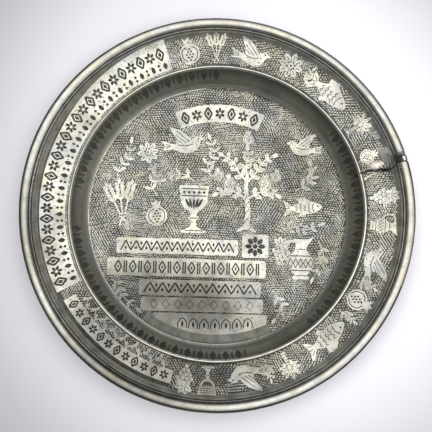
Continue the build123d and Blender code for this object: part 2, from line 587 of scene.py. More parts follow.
def dropped_on(tree, target):
    """Ray straight down from over each point to a target object: the outputs of the ray."""
    place = add(tree, "GeometryNodeInputPosition", {})
    flat = add(tree, "ShaderNodeVectorMath", {"operation": "MULTIPLY", 0: place[0], 1: (1, 1, 0)})
    above = add(tree, "ShaderNodeVectorMath", {"operation": "ADD", 0: flat[0], 1: (0, 0, RAY_HEIGHT)})
    info = add(tree, "GeometryNodeObjectInfo", {"Object": target})
    return add(
        tree,
        "GeometryNodeRaycast",
        {
            "Target Geometry": info["Geometry"],
            "Source Position": above[0],
            "Ray Direction": (0, 0, -1),
            "Ray Length": 2 * RAY_HEIGHT,
        },
    )


def laid_ridges(tree, surface, points, turn, size, corner):
    """Flat-topped ridges on points of a surface, turned about its normal; corner turns the ridge's square."""
    cone = add(
        tree,
        "GeometryNodeMeshCone",
        {"Vertices": 4, "Radius Top": 0.53, "Radius Bottom": math.sqrt(0.5), "Depth": 1.0},
    )
    squared = add(tree, "ShaderNodeCombineXYZ", {2: corner})
    ridge = add(tree, "GeometryNodeTransform", {"Geometry": cone["Mesh"], "Rotation": squared[0]})
    hit = dropped_on(tree, surface)
    missed = add(tree, "ShaderNodeMath", {"operation": "SUBTRACT", 0: 1.0, 1: hit["Is Hit"]})
    kept = add(tree, "GeometryNodeDeleteGeometry", {"Geometry": points, "Selection": missed[0]})
    laid = add(tree, "GeometryNodeSetPosition", {"Geometry": kept[0], "Position": hit["Hit Position"]})
    about = add(tree, "ShaderNodeCombineXYZ", {2: turn})
    upright = add(tree, "FunctionNodeEulerToRotation", {0: about[0]})
    leaning = add(
        tree,
        "FunctionNodeAlignRotationToVector",
        {"axis": "Z", "Rotation": upright[0], "Vector": hit["Hit Normal"]},
    )
    ridges = add(
        tree,
        "GeometryNodeInstanceOnPoints",
        {"Points": laid[0], "Instance": ridge[0], "Rotation": leaning[0], "Scale": size},
    )
    return ridges[0]


def hatch_points(tree, given):
    """Points in rows that bend like handwork, every other row half a step on, clear of figures and repair."""
    side = add(tree, "ShaderNodeMath", {"operation": "MULTIPLY", 0: given["Outer Radius"], 1: 2.1})[0]
    across = add(tree, "ShaderNodeMath", {"operation": "DIVIDE", 0: side, 1: given["Pitch"]})
    rows = add(tree, "ShaderNodeMath", {"operation": "FLOOR", 0: across[0]})
    step = add(tree, "ShaderNodeMath", {"operation": "MULTIPLY", 0: given["Pitch"], 1: 2 / math.sqrt(3)})
    columns = add(tree, "ShaderNodeMath", {"operation": "DIVIDE", 0: side, 1: step[0]})
    grid = add(
        tree,
        "GeometryNodeMeshGrid",
        {"Size X": side, "Size Y": side, "Vertices X": columns[0], "Vertices Y": rows[0]},
    )
    place = add(tree, "GeometryNodeInputPosition", {})
    parts = add(tree, "ShaderNodeSeparateXYZ", {0: place[0]})
    spaces = add(tree, "ShaderNodeMath", {"operation": "SUBTRACT", 0: rows[0], 1: 1.0})
    share = add(tree, "ShaderNodeMath", {"operation": "DIVIDE", 0: parts["Y"], 1: side})
    level = add(tree, "ShaderNodeMath", {"operation": "MULTIPLY_ADD", 0: share[0], 1: spaces[0], 2: 1000.0})
    even = add(tree, "ShaderNodeMath", {"operation": "FLOORED_MODULO", 0: level[0], 1: 2.0})
    odd = add(tree, "ShaderNodeMath", {"operation": "COMPARE", 0: even[0], 1: 1.0, 2: 0.5})
    half = add(tree, "ShaderNodeMath", {"operation": "MULTIPLY", 0: step[0], 1: 0.5})
    along = add(tree, "ShaderNodeMath", {"operation": "MULTIPLY", 0: half[0], 1: odd[0]})
    offset = add(tree, "ShaderNodeCombineXYZ", {0: along[0]})
    shifted = add(tree, "ShaderNodeVectorMath", {"operation": "ADD", 0: place[0], 1: offset[0]})
    bending = {"noise_dimensions": "3D", "Vector": place[0], "Scale": 1 / ROW_BEND_LENGTH, "Detail": 1.0}
    bend = add(tree, "ShaderNodeTexNoise", bending)["Color"]
    reach = Vector((ROW_BEND, ROW_BEND, 0))
    amount = add(tree, "ShaderNodeVectorMath", {"operation": "MULTIPLY", 0: bend, 1: reach})
    bent = add(tree, "ShaderNodeVectorMath", {"operation": "ADD", 0: shifted[0], 1: amount[0]})
    centred = add(tree, "ShaderNodeVectorMath", {"operation": "SUBTRACT", 0: bent[0], 1: reach / 2})
    loose = {"data_type": "FLOAT_VECTOR", 0: (-SHAKE, -SHAKE, 0), 1: (SHAKE, SHAKE, 0), "Seed": given["Seed"]}
    shaken = add(tree, "FunctionNodeRandomValue", loose)
    by_hand = add(tree, "ShaderNodeVectorMath", {"operation": "ADD", 0: centred[0], 1: shaken[0]})
    moved = add(tree, "GeometryNodeSetPosition", {"Geometry": grid["Mesh"], "Position": by_hand[0]})
    now = add(tree, "GeometryNodeInputPosition", {})
    distance = add(tree, "ShaderNodeVectorMath", {"operation": "LENGTH", 0: now[0]})["Value"]
    inside = add(tree, "ShaderNodeMath", {"operation": "LESS_THAN", 0: distance, 1: given["Outer Radius"]})
    beyond = {"operation": "GREATER_THAN", 0: distance, 1: given["Inner Radius"]}
    outside = add(tree, "ShaderNodeMath", beyond)
    in_ring = add(tree, "ShaderNodeMath", {"operation": "MULTIPLY", 0: inside[0], 1: outside[0]})
    figure = dropped_on(tree, given["Figures"])
    repair = dropped_on(tree, given["Repair"])
    covered = add(tree, "ShaderNodeMath", {"operation": "MAXIMUM", 0: figure["Is Hit"], 1: repair["Is Hit"]})
    kept = add(tree, "ShaderNodeMath", {"operation": "SUBTRACT", 0: in_ring[0], 1: covered[0]})
    drop = add(tree, "ShaderNodeMath", {"operation": "LESS_THAN", 0: kept[0], 1: 0.5})
    left = add(tree, "GeometryNodeDeleteGeometry", {"Geometry": moved[0], "Selection": drop[0]})
    return add(tree, "GeometryNodeMeshToPoints", {"Mesh": left[0]})[0]


def hatching_tree():
    """Short ridges over a ring of a surface; each patch has one of three directions and its own length."""
    inputs = {
        "Surface": "Object",
        "Figures": "Object",
        "Repair": "Object",
        "Inner Radius": "Float",
        "Outer Radius": "Float",
        "Pitch": "Float",
        "Length": "Float",
        "Width": "Float",
        "Height": "Float",
        "Patch": "Float",
        "Seed": "Int",
        "Material": "Material",
    }
    tree, given = new_tree("hatching", inputs)
    points = hatch_points(tree, given)
    spot = add(tree, "GeometryNodeInputPosition", {})
    fineness = add(tree, "ShaderNodeMath", {"operation": "DIVIDE", 0: 1.0, 1: given["Patch"]})
    patched = {"voronoi_dimensions": "2D", "Vector": spot[0], "Scale": fineness[0]}
    lot = add(tree, "ShaderNodeSeparateXYZ", {0: add(tree, "ShaderNodeTexVoronoi", patched)["Color"]})
    third = add(tree, "ShaderNodeMath", {"operation": "MULTIPLY", 0: lot[0], 1: 3.0})
    family = add(tree, "ShaderNodeMath", {"operation": "FLOOR", 0: third[0]})
    chance = {"data_type": "FLOAT", 2: -1.0, 3: 1.0, "Seed": given["Seed"]}
    waver = add(tree, "FunctionNodeRandomValue", chance)
    sway = add(tree, "ShaderNodeMath", {"operation": "MULTIPLY", 0: waver[1], 1: 0.3})
    swung = {"operation": "MULTIPLY_ADD", 0: family[0], 1: math.pi / 3, 2: sway[0]}
    turn = add(tree, "ShaderNodeMath", swung)
    stretch = add(tree, "ShaderNodeMapRange", {"Value": lot[1], "To Min": 0.55, "To Max": 1.0})
    uneven = add(tree, "ShaderNodeMath", {"operation": "MULTIPLY_ADD", 0: waver[1], 1: 0.16, 2: stretch[0]})
    reach = add(tree, "ShaderNodeMath", {"operation": "MULTIPLY", 0: given["Length"], 1: uneven[0]})
    size = add(tree, "ShaderNodeCombineXYZ", {0: reach[0], 1: given["Width"], 2: given["Height"]})
    ridges = laid_ridges(tree, given["Surface"], points, turn[0], size[0], math.pi / 4)
    return close_tree(tree, given, ridges)


def row_tree():
    """Row of ridges along part of a circle on a surface, each turned by a lean from the radius."""
    inputs = {
        "Surface": "Object",
        "Radius": "Float",
        "Start": "Float",
        "Sweep": "Float",
        "Count": "Int",
        "Lean": "Float",
        "Corner": "Float",
        "Length": "Float",
        "Width": "Float",
        "Height": "Float",
        "Material": "Material",
    }
    tree, given = new_tree("row_of_ridges", inputs)
    index = add(tree, "GeometryNodeInputIndex", {})
    share = add(tree, "ShaderNodeMath", {"operation": "DIVIDE", 0: index[0], 1: given["Count"]})
    angle = add(
        tree,
        "ShaderNodeMath",
        {"operation": "MULTIPLY_ADD", 0: share[0], 1: given["Sweep"], 2: given["Start"]},
    )
    outwards = add(tree, "ShaderNodeCombineXYZ", {0: given["Radius"]})
    place = add(
        tree,
        "ShaderNodeVectorRotate",
        {"rotation_type": "Z_AXIS", "Vector": outwards[0], "Angle": angle[0]},
    )
    points = add(tree, "GeometryNodePoints", {"Count": given["Count"], "Position": place[0]})
    spot = add(tree, "GeometryNodeInputPosition", {})
    parts = add(tree, "ShaderNodeSeparateXYZ", {0: spot[0]})
    bearing = add(tree, "ShaderNodeMath", {"operation": "ARCTAN2", 0: parts["Y"], 1: parts["X"]})
    turn = add(tree, "ShaderNodeMath", {"operation": "ADD", 0: bearing[0], 1: given["Lean"]})
    size = add(tree, "ShaderNodeCombineXYZ", {0: given["Length"], 1: given["Width"], 2: given["Height"]})
    row = laid_ridges(tree, given["Surface"], points[0], turn[0], size[0], given["Corner"])
    return close_tree(tree, given, row)


def ridge_row(name, surface, radius, angles, count, lean, size, material, is_lozenge=False):
    """Row of ridges on a piece between two angles in degrees, with their sizes in millimetres."""
    values = {
        "Surface": surface,
        "Radius": radius,
        "Start": math.radians(angles[0]),
        "Sweep": math.radians(angles[1] - angles[0]),
        "Count": count,
        "Lean": math.radians(lean),
        "Corner": 0.0 if is_lozenge else math.pi / 4,
        "Length": size[0] * MM,
        "Width": size[1] * MM,
        "Height": size[2] * MM,
        "Material": material,
    }
    return grown(name, bpy.data.node_groups.get("row_of_ridges") or row_tree(), values)


# Drawing: outlines of the figures, in millimetres


class Figure:
    """Outlines that are left standing, and lines that are cut into them."""

    def __init__(self, raised=(), cut=()):
        self.raised = list(raised)
        self.cut = list(cut)

    def take(self, other, place):
        """Adds another figure, each of its points moved by a place function."""
        self.raised.extend([[place(point) for point in line] for line in other.raised])
        self.cut.extend([[place(point) for point in line] for line in other.cut])
        return self


def at(x, y, turn=0.0, size=1.0, flip=1):
    """Place function on the floor: turned by degrees, scaled and moved."""
    turned = Matrix.Rotation(math.radians(turn), 2)
    return lambda point: turned @ Vector((point[0] * flip * size, point[1] * size)) + Vector((x, y))


def on_rim(angle, foot, size=1.0, flip=1):
    """Place function on the flange: the figure's foot points inwards, and its right is clockwise."""

    def place(point):
        full_width = foot + 12  # the figure has its drawn width at this distance from the axis
        bearing = math.radians(angle) - point[0] * flip * size / full_width
        return polar(foot + point[1] * size, bearing, 0).xy

    return place


def points_of(*pairs):
    """Plan points from pairs of numbers."""
    return [Vector(pair) for pair in pairs]


def smooth(points, closed=True, steps=5):
    """Smooth line through points, closed into an outline or left open."""
    count = len(points)
    line = []
    for index in range(count if closed else count - 1):
        picks = [index - 1, index, index + 1, index + 2]
        if closed:
            before, start, end, after = (points[pick % count] for pick in picks)
        else:
            before, start, end, after = (points[min(max(pick, 0), count - 1)] for pick in picks)
        leave = start + (end - before) / 6
        arrive = end - (after - start) / 6
        bend = interpolate_bezier(start, leave, arrive, end, steps + 1)
        line.extend(Vector(point[:2]) for point in bend[:-1])
    if not closed:
        line.append(points[-1])
    return line


def stroke(line, width, end_width=None):
    """Outline of a stroke along a line, from one width to another."""
    end_width = width if end_width is None else end_width
    left = []
    right = []
    for index, point in enumerate(line):
        along = line[min(index + 1, len(line) - 1)] - line[max(index - 1, 0)]
        side = Vector((-along.y, along.x)).normalized()
        half = (width + (end_width - width) * index / (len(line) - 1)) / 2
        left.append(point + side * half)
        right.append(point - side * half)
    return left + right[::-1]


def bar(x0, y0, x1, y1, width):
    """Straight stroke between two points."""
    return stroke(points_of((x0, y0), (x1, y1)), width)


def oval(x, y, half_width, half_height, count):
    """Outline of an ellipse."""
    turns = [math.tau * step / count for step in range(count)]
    return [Vector((x + half_width * math.cos(t), y + half_height * math.sin(t))) for t in turns]


def leaf(base, tip, width, steps=6):
    """Pointed leaf between two points."""
    base = Vector(base)
    tip = Vector(tip)
    along = tip - base
    side = Vector((-along.y, along.x)).normalized() * width * 0.72
    one = interpolate_bezier(base, base + along * 0.25 + side, base + along * 0.7 + side, tip, steps)
    other = interpolate_bezier(tip, base + along * 0.7 - side, base + along * 0.25 - side, base, steps)
    return [Vector(point[:2]) for point in one[:-1] + other[:-1]]


def mirrored(points):
    """Closed outline from its right half, drawn from the bottom to the top."""
    return list(points) + [Vector((-point.x, point.y)) for point in reversed(points)]


def lozenge(x, y, half_width, half_height):
    """Diamond with its corners on the two axes."""
    return points_of((x + half_width, y), (x, y + half_height), (x - half_width, y), (x, y - half_height))


def lozenge_ring(x, y, half_width, half_height, width):
    """Four strokes round a diamond."""
    corners = lozenge(x, y, half_width, half_height)
    return [stroke([corner, corners[(index + 1) % 4]], width) for index, corner in enumerate(corners)]


def sprig(line, leaves, length, width, stem=0.9):
    """Curved stem with leaves on both sides and one at its end."""
    line = smooth(line, closed=False, steps=8)
    figure = Figure([stroke(line, stem, stem * 0.6)])
    for number in range(leaves):
        share = (number + 1) / (leaves + 1)
        index = min(round(share * (len(line) - 1)), len(line) - 2)
        along = (line[index + 1] - line[index]).normalized()
        for side in (1, -1):
            way = Matrix.Rotation(side * math.radians(48), 2) @ along
            reach = length * (1.08 - 0.35 * share)
            base = line[index] + way * 0.3
            figure.raised.append(leaf(base, base + way * reach, width * (1.1 - 0.3 * share)))
            figure.cut.append(stroke([base + way * reach * 0.25, base + way * reach * 0.72], 0.45, 0.3))
    end = (line[-1] - line[-3]).normalized()
    figure.raised.append(leaf(line[-1] - end * 0.4, line[-1] + end * length * 0.9, width))
    return figure


def pomegranate():
    """Round fruit with a crown and an opened side that shows its seeds; 16 wide and 20 high."""
    crown = points_of(
        (-2.4, 14.2), (-4.2, 19.4), (-1.7, 17.6), (0, 20.2), (1.7, 17.6), (4.2, 19.4), (2.4, 14.2),
    )
    figure = Figure([oval(0, 7.6, 8, 7.6, 26), crown])
    for row, count in enumerate((1, 2, 3, 2, 1)):
        for column in range(count):
            figure.cut.append(oval((column - (count - 1) / 2) * 2.5, 7.2 + (row - 2) * 2.1, 0.75, 0.85, 8))
    for side in (-1, 1):
        line = points_of((side * 1.8, 13.2), (side * 5.6, 10.6), (side * 5.8, 5.0), (side * 2.2, 1.6))
        figure.cut.append(stroke(smooth(line, closed=False), 0.7))
    return figure


def dove():
    """Bird in flight to the right; 35 wide and 23 high."""
    body = points_of(
        (16.4, 5.2), (13.2, 7.4), (10.6, 8.5), (7.6, 7.4), (4, 5), (-4, 3.4), (-12, 4.4), (-19, 7.4),
        (-17.2, 2.8), (-19, -0.6), (-11, -0.8), (-5, -3.6), (2, -5.2), (8, -3.4), (11.6, 0.8), (13.4, 4.0),
    )
    wing = points_of((6, 2.6), (3, 9), (-3, 14.5), (-11, 18), (-9.6, 13), (-7, 8.5), (-6, 3.4))
    figure = Figure([smooth(body, steps=4), smooth(wing, steps=4)], [oval(11.3, 6.2, 0.75, 0.75, 8)])
    figure.cut.append(stroke(smooth(points_of((6.2, 2.2), (0, 1.2), (-6.4, 2.8)), closed=False), 0.7))
    for start, end in (((3.6, 4.4), (-6, 14.6)), ((0.6, 3.8), (-7.4, 11.2)), ((-2.4, 3.8), (-6.9, 7.6))):
        figure.cut.append(stroke(points_of(start, end), 0.65, 0.45))
    for height in (4.6, 2.8, 1.0):
        figure.cut.append(bar(-17, height, -12.4, 2.2 + (height - 2.8) * 0.4, 0.5))
    return figure


def fish():
    """Fish to the right, with fins and scales; 37 wide and 17 high."""
    body = points_of(
        (18, 0.4), (13, 4.2), (5, 6.4), (-4, 5.2), (-11, 2.0), (-15, 5.4), (-18.6, 7), (-16.6, 0.2),
        (-18.6, -6.6), (-15, -5), (-11, -1.8), (-4, -4.8), (5, -5.8), (13, -3.6),
    )
    back_fin = points_of((7, 5.4), (1.5, 9.8), (-5.5, 9.2), (-4.5, 4.2))
    belly_fin = points_of((3.5, -5.0), (-2.2, -8.4), (-4.6, -7.4), (-2.6, -4.4))
    figure = Figure([smooth(body, steps=4), back_fin, belly_fin], [oval(13.4, 1.4, 0.8, 0.8, 8)])
    figure.cut.append(stroke(smooth(points_of((9.8, 4.4), (8.4, 0.4), (9.6, -4.0)), closed=False), 0.7))
    for column in range(4):
        x = 5.8 - column * 3.9
        for row in (-1, 0, 1) if column % 2 == 0 else (-0.5, 0.5):
            y = row * 3.1
            if column < 3 or abs(row) < 1:
                line = points_of((x, y + 1.3), (x - 1.5, y), (x, y - 1.3))
                figure.cut.append(stroke(smooth(line, closed=False, steps=3), 0.6))
    for height in (3.4, 0.2, -3.0):
        figure.cut.append(bar(-16.8, height * 1.2, -13.2, height * 0.5, 0.5))
    return figure


def sheaf():
    """Three ears of wheat tied together; 20 wide and 27 high."""
    figure = Figure()
    for lean in (-19, 0, 19):
        ear = Figure([bar(0, 0, 0, 15, 1.0), leaf((0, 22.5), (0, 26.5), 2.0)])
        for step in range(5):
            height = 13 + step * 2.0
            for side in (-1, 1):
                ear.raised.append(leaf((side * 0.35, height), (side * 2.7, height + 3.3), 1.7, 5))
        figure.take(ear, at(0, 4, lean))
    figure.raised.append(points_of((-2.6, 6), (2.6, 6), (2.2, 8.6), (-2.2, 8.6)))
    figure.cut.append(bar(-2.0, 7.3, 2.0, 7.3, 0.6))
    for lean in (-24, 24):
        figure.take(Figure([bar(0, 0, 0, 6.5, 1.0)]), at(0, 7, 180 + lean))
    return figure


def grapes():
    """Bunch of grapes under a lobed leaf; 17 wide and 25 high."""
    figure = Figure([bar(0, 15, 1.2, 25, 1.1)])
    for row, count in enumerate((1, 2, 3, 4, 3)):
        for column in range(count):
            figure.raised.append(oval((column - (count - 1) / 2) * 4.3, 2.2 + row * 3.7, 1.95, 1.95, 12))
            figure.cut.append(oval((column - (count - 1) / 2) * 4.3 + 0.5, 2.7 + row * 3.7, 0.5, 0.5, 6))
    for way in (-62, -24, 14, 52):
        figure.take(Figure([leaf((0, 0), (0, 9), 4.2)], [bar(0, 1.5, 0, 6.2, 0.55)]), at(-1, 18.5, way))
    return figure


def goblet():
    """Footed cup with two lines under its brim and a ring of petals; 21 wide and 34 high."""
    half = points_of(
        (8.6, 0), (9, 1.4), (5, 2.8), (2.1, 4.8), (1.7, 8.4), (3.5, 9.8), (3.5, 11.2), (1.8, 12.6),
        (3.0, 15.0), (7.2, 17.8), (9.3, 22), (9.8, 28), (10.6, 33.6),
    )
    figure = Figure([mirrored(half)])
    figure.cut.extend([bar(-9.0, 31.2, 9.0, 31.2, 0.75), bar(-8.6, 26.2, 8.6, 26.2, 0.75)])
    for column in range(-2, 3):
        figure.cut.append(lozenge(column * 3.5, 28.7, 1.1, 1.3))
        figure.cut.append(leaf((column * 1.3, 16.8 + abs(column) * 0.5), (column * 3.1, 24.6), 1.7))
    figure.cut.extend([bar(-3.2, 10.5, 3.2, 10.5, 0.6), bar(-6, 1.7, 6, 1.7, 0.6)])
    return figure


def jug():
    """Round-bellied jug with a spout and a handle; 28 wide and 34 high."""
    half = points_of(
        (6.4, 0), (6.6, 1.6), (4.6, 3.2), (8.6, 7.2), (10.4, 12.6), (8.8, 18), (4.8, 22.4), (4.0, 26.4),
        (5.4, 31.4),
    )
    handle = points_of((-4.4, 29.6), (-11.5, 29.2), (-14.6, 23.6), (-12.8, 17.6), (-8.6, 14.8))
    spout = points_of((3.6, 28.4), (5.6, 31.4), (10.2, 33.8), (7.0, 28.4), (4.2, 25.4))
    figure = Figure([mirrored(half), stroke(smooth(handle, closed=False), 2.2, 1.5), spout])
    figure.cut.extend([bar(-8.6, 18.2, 8.6, 18.2, 0.75), bar(-8.2, 6.8, 8.2, 6.8, 0.75)])
    figure.cut.extend([bar(-4.0, 23.4, 4.0, 23.4, 0.6), bar(-4.4, 2.9, 4.4, 2.9, 0.6)])
    for column in range(-2, 3):
        figure.cut.extend(lozenge_ring(column * 4.0, 12.5, 1.75, 3.6, 0.6))
    return figure


def palm():
    """Date palm with a ringed trunk; 24 wide and 27 high."""
    figure = Figure([points_of((-2.2, 0), (2.2, 0), (1.2, 16), (-1.2, 16))])
    for height in (2.2, 4.8, 7.4, 10.0, 12.6):
        figure.cut.append(bar(-1.9, height + 0.6, 0, height - 0.4, 0.5))
        figure.cut.append(bar(0, height - 0.4, 1.9, height + 0.6, 0.5))
    for way in (-104, -72, -40, 0, 40, 72, 104):
        reach = 12.5 - abs(way) * 0.022
        frond = Figure([leaf((0, 0), (0, reach), 3.0)], [bar(0, 1.4, 0, reach * 0.76, 0.5)])
        figure.take(frond, at(0, 15.4, way))
    for side in (-1, 1):
        figure.raised.append(oval(side * 3.6, 11.4, 1.5, 2.3, 12))
    return figure


def rosette():
    """Flower of eight petals, seen from above; 20 across, with its foot at zero."""
    figure = Figure([oval(0, 10, 2.3, 2.3, 16)], [oval(0, 10, 0.9, 0.9, 10)])
    petal = Figure([leaf((0, 2.7), (0, 10), 4.1)], [bar(0, 4.2, 0, 7.6, 0.6)])
    for number in range(8):
        figure.take(petal, at(0, 10, number * 45))
    return figure


def fruit_tree():
    """Tree with curved boughs, leaves and five fruits; 62 wide and 84 high."""
    trunk = points_of((0, 0), (1.2, 16), (-0.8, 34), (0, 50))
    figure = Figure([stroke(smooth(trunk, closed=False), 5.4, 2.6)])
    for height in (6, 13, 20, 27):
        figure.cut.append(stroke(smooth(points_of((-1.6, height), (0.3, height + 3.6)), closed=False), 0.6))
        figure.cut.append(stroke(smooth(points_of((1.0, height + 3), (1.8, height + 6)), closed=False), 0.6))
    for side in (-1, 1):
        figure.raised.append(leaf((side * 1.0, 2.5), (side * 9, -1.5), 3.0))
        low = points_of((0, 27), (side * 10, 33), (side * 18, 35), (side * 25, 32))
        high = points_of((0, 42), (side * 7, 50), (side * 13, 60), (side * 21, 65))
        figure.take(sprig(low, 4, 7.6, 3.5, 1.7), at(0, 0))
        figure.take(sprig(high, 4, 7.6, 3.5, 1.7), at(0, 0))
        figure.take(pomegranate(), at(side * 15, 36.5, side * -8, 0.66))
        figure.take(pomegranate(), at(side * 24, 43, side * -14, 0.6))
    top = points_of((0, 48), (-1.4, 56), (0.6, 64), (0, 70))
    figure.take(sprig(top, 3, 7.4, 3.5, 1.5), at(0, 0))
    figure.take(pomegranate(), at(0.4, 76, 0, 0.62))
    return figure


def vine(length, wave):
    """Wavy vine with leaves, along +X."""
    count = max(4, round(length / wave) * 4)
    line = []
    for step in range(count + 1):
        line.append(Vector((length * step / count, wave * 0.2 * math.sin(step * math.pi / 2))))
    figure = Figure([stroke(smooth(line, closed=False), 1.1)])
    for step in range(1, count, 2):
        turn = 1 if line[step].y > 0 else -1
        foot = line[step]
        tip = foot + Vector((wave * 0.16, -turn * wave * 0.34))
        figure.raised.append(leaf(foot, tip, wave * 0.2))
        tip = foot + Vector((-wave * 0.12, turn * wave * 0.3))
        figure.raised.append(leaf(foot, tip, wave * 0.18))
    return figure


# Bands: bright strips with a cut ornament


def band(x0, x1, y0, y1, sag=0.0):
    """Strip with rounded ends; its lower edge may sag."""
    corner = 1.6
    low = [Vector((x0 + (x1 - x0) * s / 16, y0 - sag * math.sin(math.pi * s / 16))) for s in range(17)]
    low[0].x += corner
    low[-1].x -= corner
    high = points_of((x1, y0 + corner), (x1, y1 - corner), (x1 - corner, y1))
    high += points_of((x0 + corner, y1), (x0, y1 - corner), (x0, y0 + corner))
    return Figure([low + high])


def lozenge_band(x0, x1, y0, y1, spacing):
    """Strip cut with open lozenges between pairs of uprights."""
    figure = band(x0, x1, y0, y1)
    middle = (y0 + y1) / 2
    half = (y1 - y0) / 2
    count = int((x1 - x0 - 4) / spacing)
    for number in range(count):
        x = (x0 + x1) / 2 + (number - (count - 1) / 2) * spacing
        figure.cut.extend(lozenge_ring(x - spacing * 0.16, middle, spacing * 0.24, half * 0.66, 1.25))
        figure.cut.append(lozenge(x - spacing * 0.16, middle, spacing * 0.07, half * 0.2))
        for aside in (0.26, 0.41):
            upright = x + spacing * aside
            figure.cut.append(bar(upright, middle - half * 0.66, upright, middle + half * 0.66, 1.3))
    return figure


def zigzag_band(x0, x1, y0, y1, spacing):
    """Strip cut with a zigzag and with drops in its corners."""
    figure = band(x0, x1, y0, y1)
    middle = (y0 + y1) / 2
    half = (y1 - y0) / 2 * 0.62
    count = int((x1 - x0 - 5) / spacing)
    start = (x0 + x1) / 2 - count * spacing / 2
    for number in range(count):
        x = start + number * spacing
        figure.cut.append(bar(x, middle - half, x + spacing / 2, middle + half, 1.35))
        figure.cut.append(bar(x + spacing / 2, middle + half, x + spacing, middle - half, 1.35))
        figure.cut.append(lozenge(x + spacing / 2, middle - half * 0.5, 1.2, half * 0.42))
        if number:
            figure.cut.append(lozenge(x, middle + half * 0.5, 1.2, half * 0.42))
    return figure


def arcade_band(x0, x1, y0, y1, spacing, sag):
    """Strip cut with a row of small arches, each with an upright leaf in it."""
    figure = band(x0, x1, y0, y1, sag)
    count = int((x1 - x0 - 5) / spacing)
    height = (y1 - y0) * 0.72
    half = spacing * 0.38
    for number in range(count):
        x = (x0 + x1) / 2 + (number - (count - 1) / 2) * spacing
        foot = (y0 + y1) / 2 - height / 2
        foot -= sag * 0.55 * math.sin(math.pi * (x - x0) / (x1 - x0))
        left = x - half
        right = x + half
        spring = foot + height * 0.55
        line = points_of((left, foot), (left, spring), (x, foot + height), (right, spring), (right, foot))
        figure.cut.append(stroke(smooth(line, closed=False), 0.9))
        figure.cut.append(leaf((x, foot + 0.6), (x, foot + height * 0.72), half * 0.5))
    return figure


def rim_band(start, stop, inner, outer):
    """Strip along the flange between two angles and two radii."""
    count = round(abs(stop - start) / 1.2)
    angles = [math.radians(start + (stop - start) * step / count) for step in range(count + 1)]
    far = [polar(outer, angle, 0).xy for angle in angles]
    near = [polar(inner, angle, 0).xy for angle in reversed(angles)]
    return Figure([far + near])


def rim_ornaments(figure, start, stop, radius, spacing, draw):
    """Cuts a row of ornaments into a strip of the flange; draw gives the lines of each number."""
    arc = math.radians(stop - start) * radius
    count = int(arc / spacing)
    for number in range(count):
        angle = start + (stop - start) * (number + 0.5) / count
        figure.take(Figure([], draw(number)), on_rim(angle, radius))


def tall_ornament(number):
    """Open lozenge with a filled one in it, or a flower of six petals, 12 high about zero."""
    if number % 2:
        ways = [at(0, 0, 60 * petal)(Vector((0, 1))) for petal in range(6)]
        return [leaf(way * 0.9, way * 5.7, 2.6) for way in ways]
    return [*lozenge_ring(0, 0, 4.0, 5.8, 1.9), lozenge(0, 0, 1.8, 2.9)]


def ribbon_ornament(number):
    """The tall ornament, a little lower."""
    return [[point * 0.8 for point in line] for line in tall_ornament(number)]


def low_ornament(number):
    """Leaf or a pair of small lozenges, 7 high about zero."""
    if number % 2:
        return [lozenge(0, 1.9, 1.6, 1.7), lozenge(0, -1.9, 1.6, 1.7)]
    return [leaf((0, -3.4), (0, 3.4), 3.9)]


FLOOR_SCALE = 1.025  # the floor's figures are drawn a little small
FLOOR_MOTIFS = (  # what it is, its place, its turn in degrees, its size, and -1 where it faces the other way
    (fruit_tree, 27, -14, 0, 1.06, 1),
    (goblet, -22, -18, 0, 1.32, 1),
    (jug, 78, -58, 0, 1.18, 1),
    (dove, -31, 62, 8, 1.12, 1),
    (dove, 78, 62, -6, 0.95, -1),
    (fish, 80, 8, 4, 0.98, 1),
    (sheaf, -86, -14, 8, 1.5, 1),
    (rosette, -64, 46, 10, 1.05, 1),
    (pomegranate, -55, -12, 6, 1.2, 1),
    (grapes, 58, -46, -8, 1.0, 1),
)
FLOOR_SPRIGS = (  # the stem's points, its pairs of leaves, and a leaf's length and width
    (((-56, 16), (-62, 26), (-58, 36), (-64, 46)), 4, 8.2, 2.7),
    (((-6, 34), (-10, 46), (-4, 58), (-8, 70)), 5, 8.2, 2.7),
    (((-94, 30), (-92, 42), (-84, 52), (-82, 64)), 4, 8.2, 2.7),
    (((-22, 30), (-30, 36), (-40, 36), (-48, 32)), 3, 7.8, 2.6),
    (((72, 24), (82, 30), (88, 38), (86, 48)), 4, 8.2, 2.7),
    (((58, -14), (70, -10), (82, -12), (94, -8)), 4, 7.8, 2.6),
    (((94, -22), (99, -34), (96, -44), (90, -56)), 4, 7.4, 2.6),
    (((-96, -62), (-90, -68), (-84, -78), (-72, -88)), 4, 8.0, 2.7),
    (((52, -68), (58, -78), (62, -84), (56, -94)), 3, 7.8, 2.6),
)


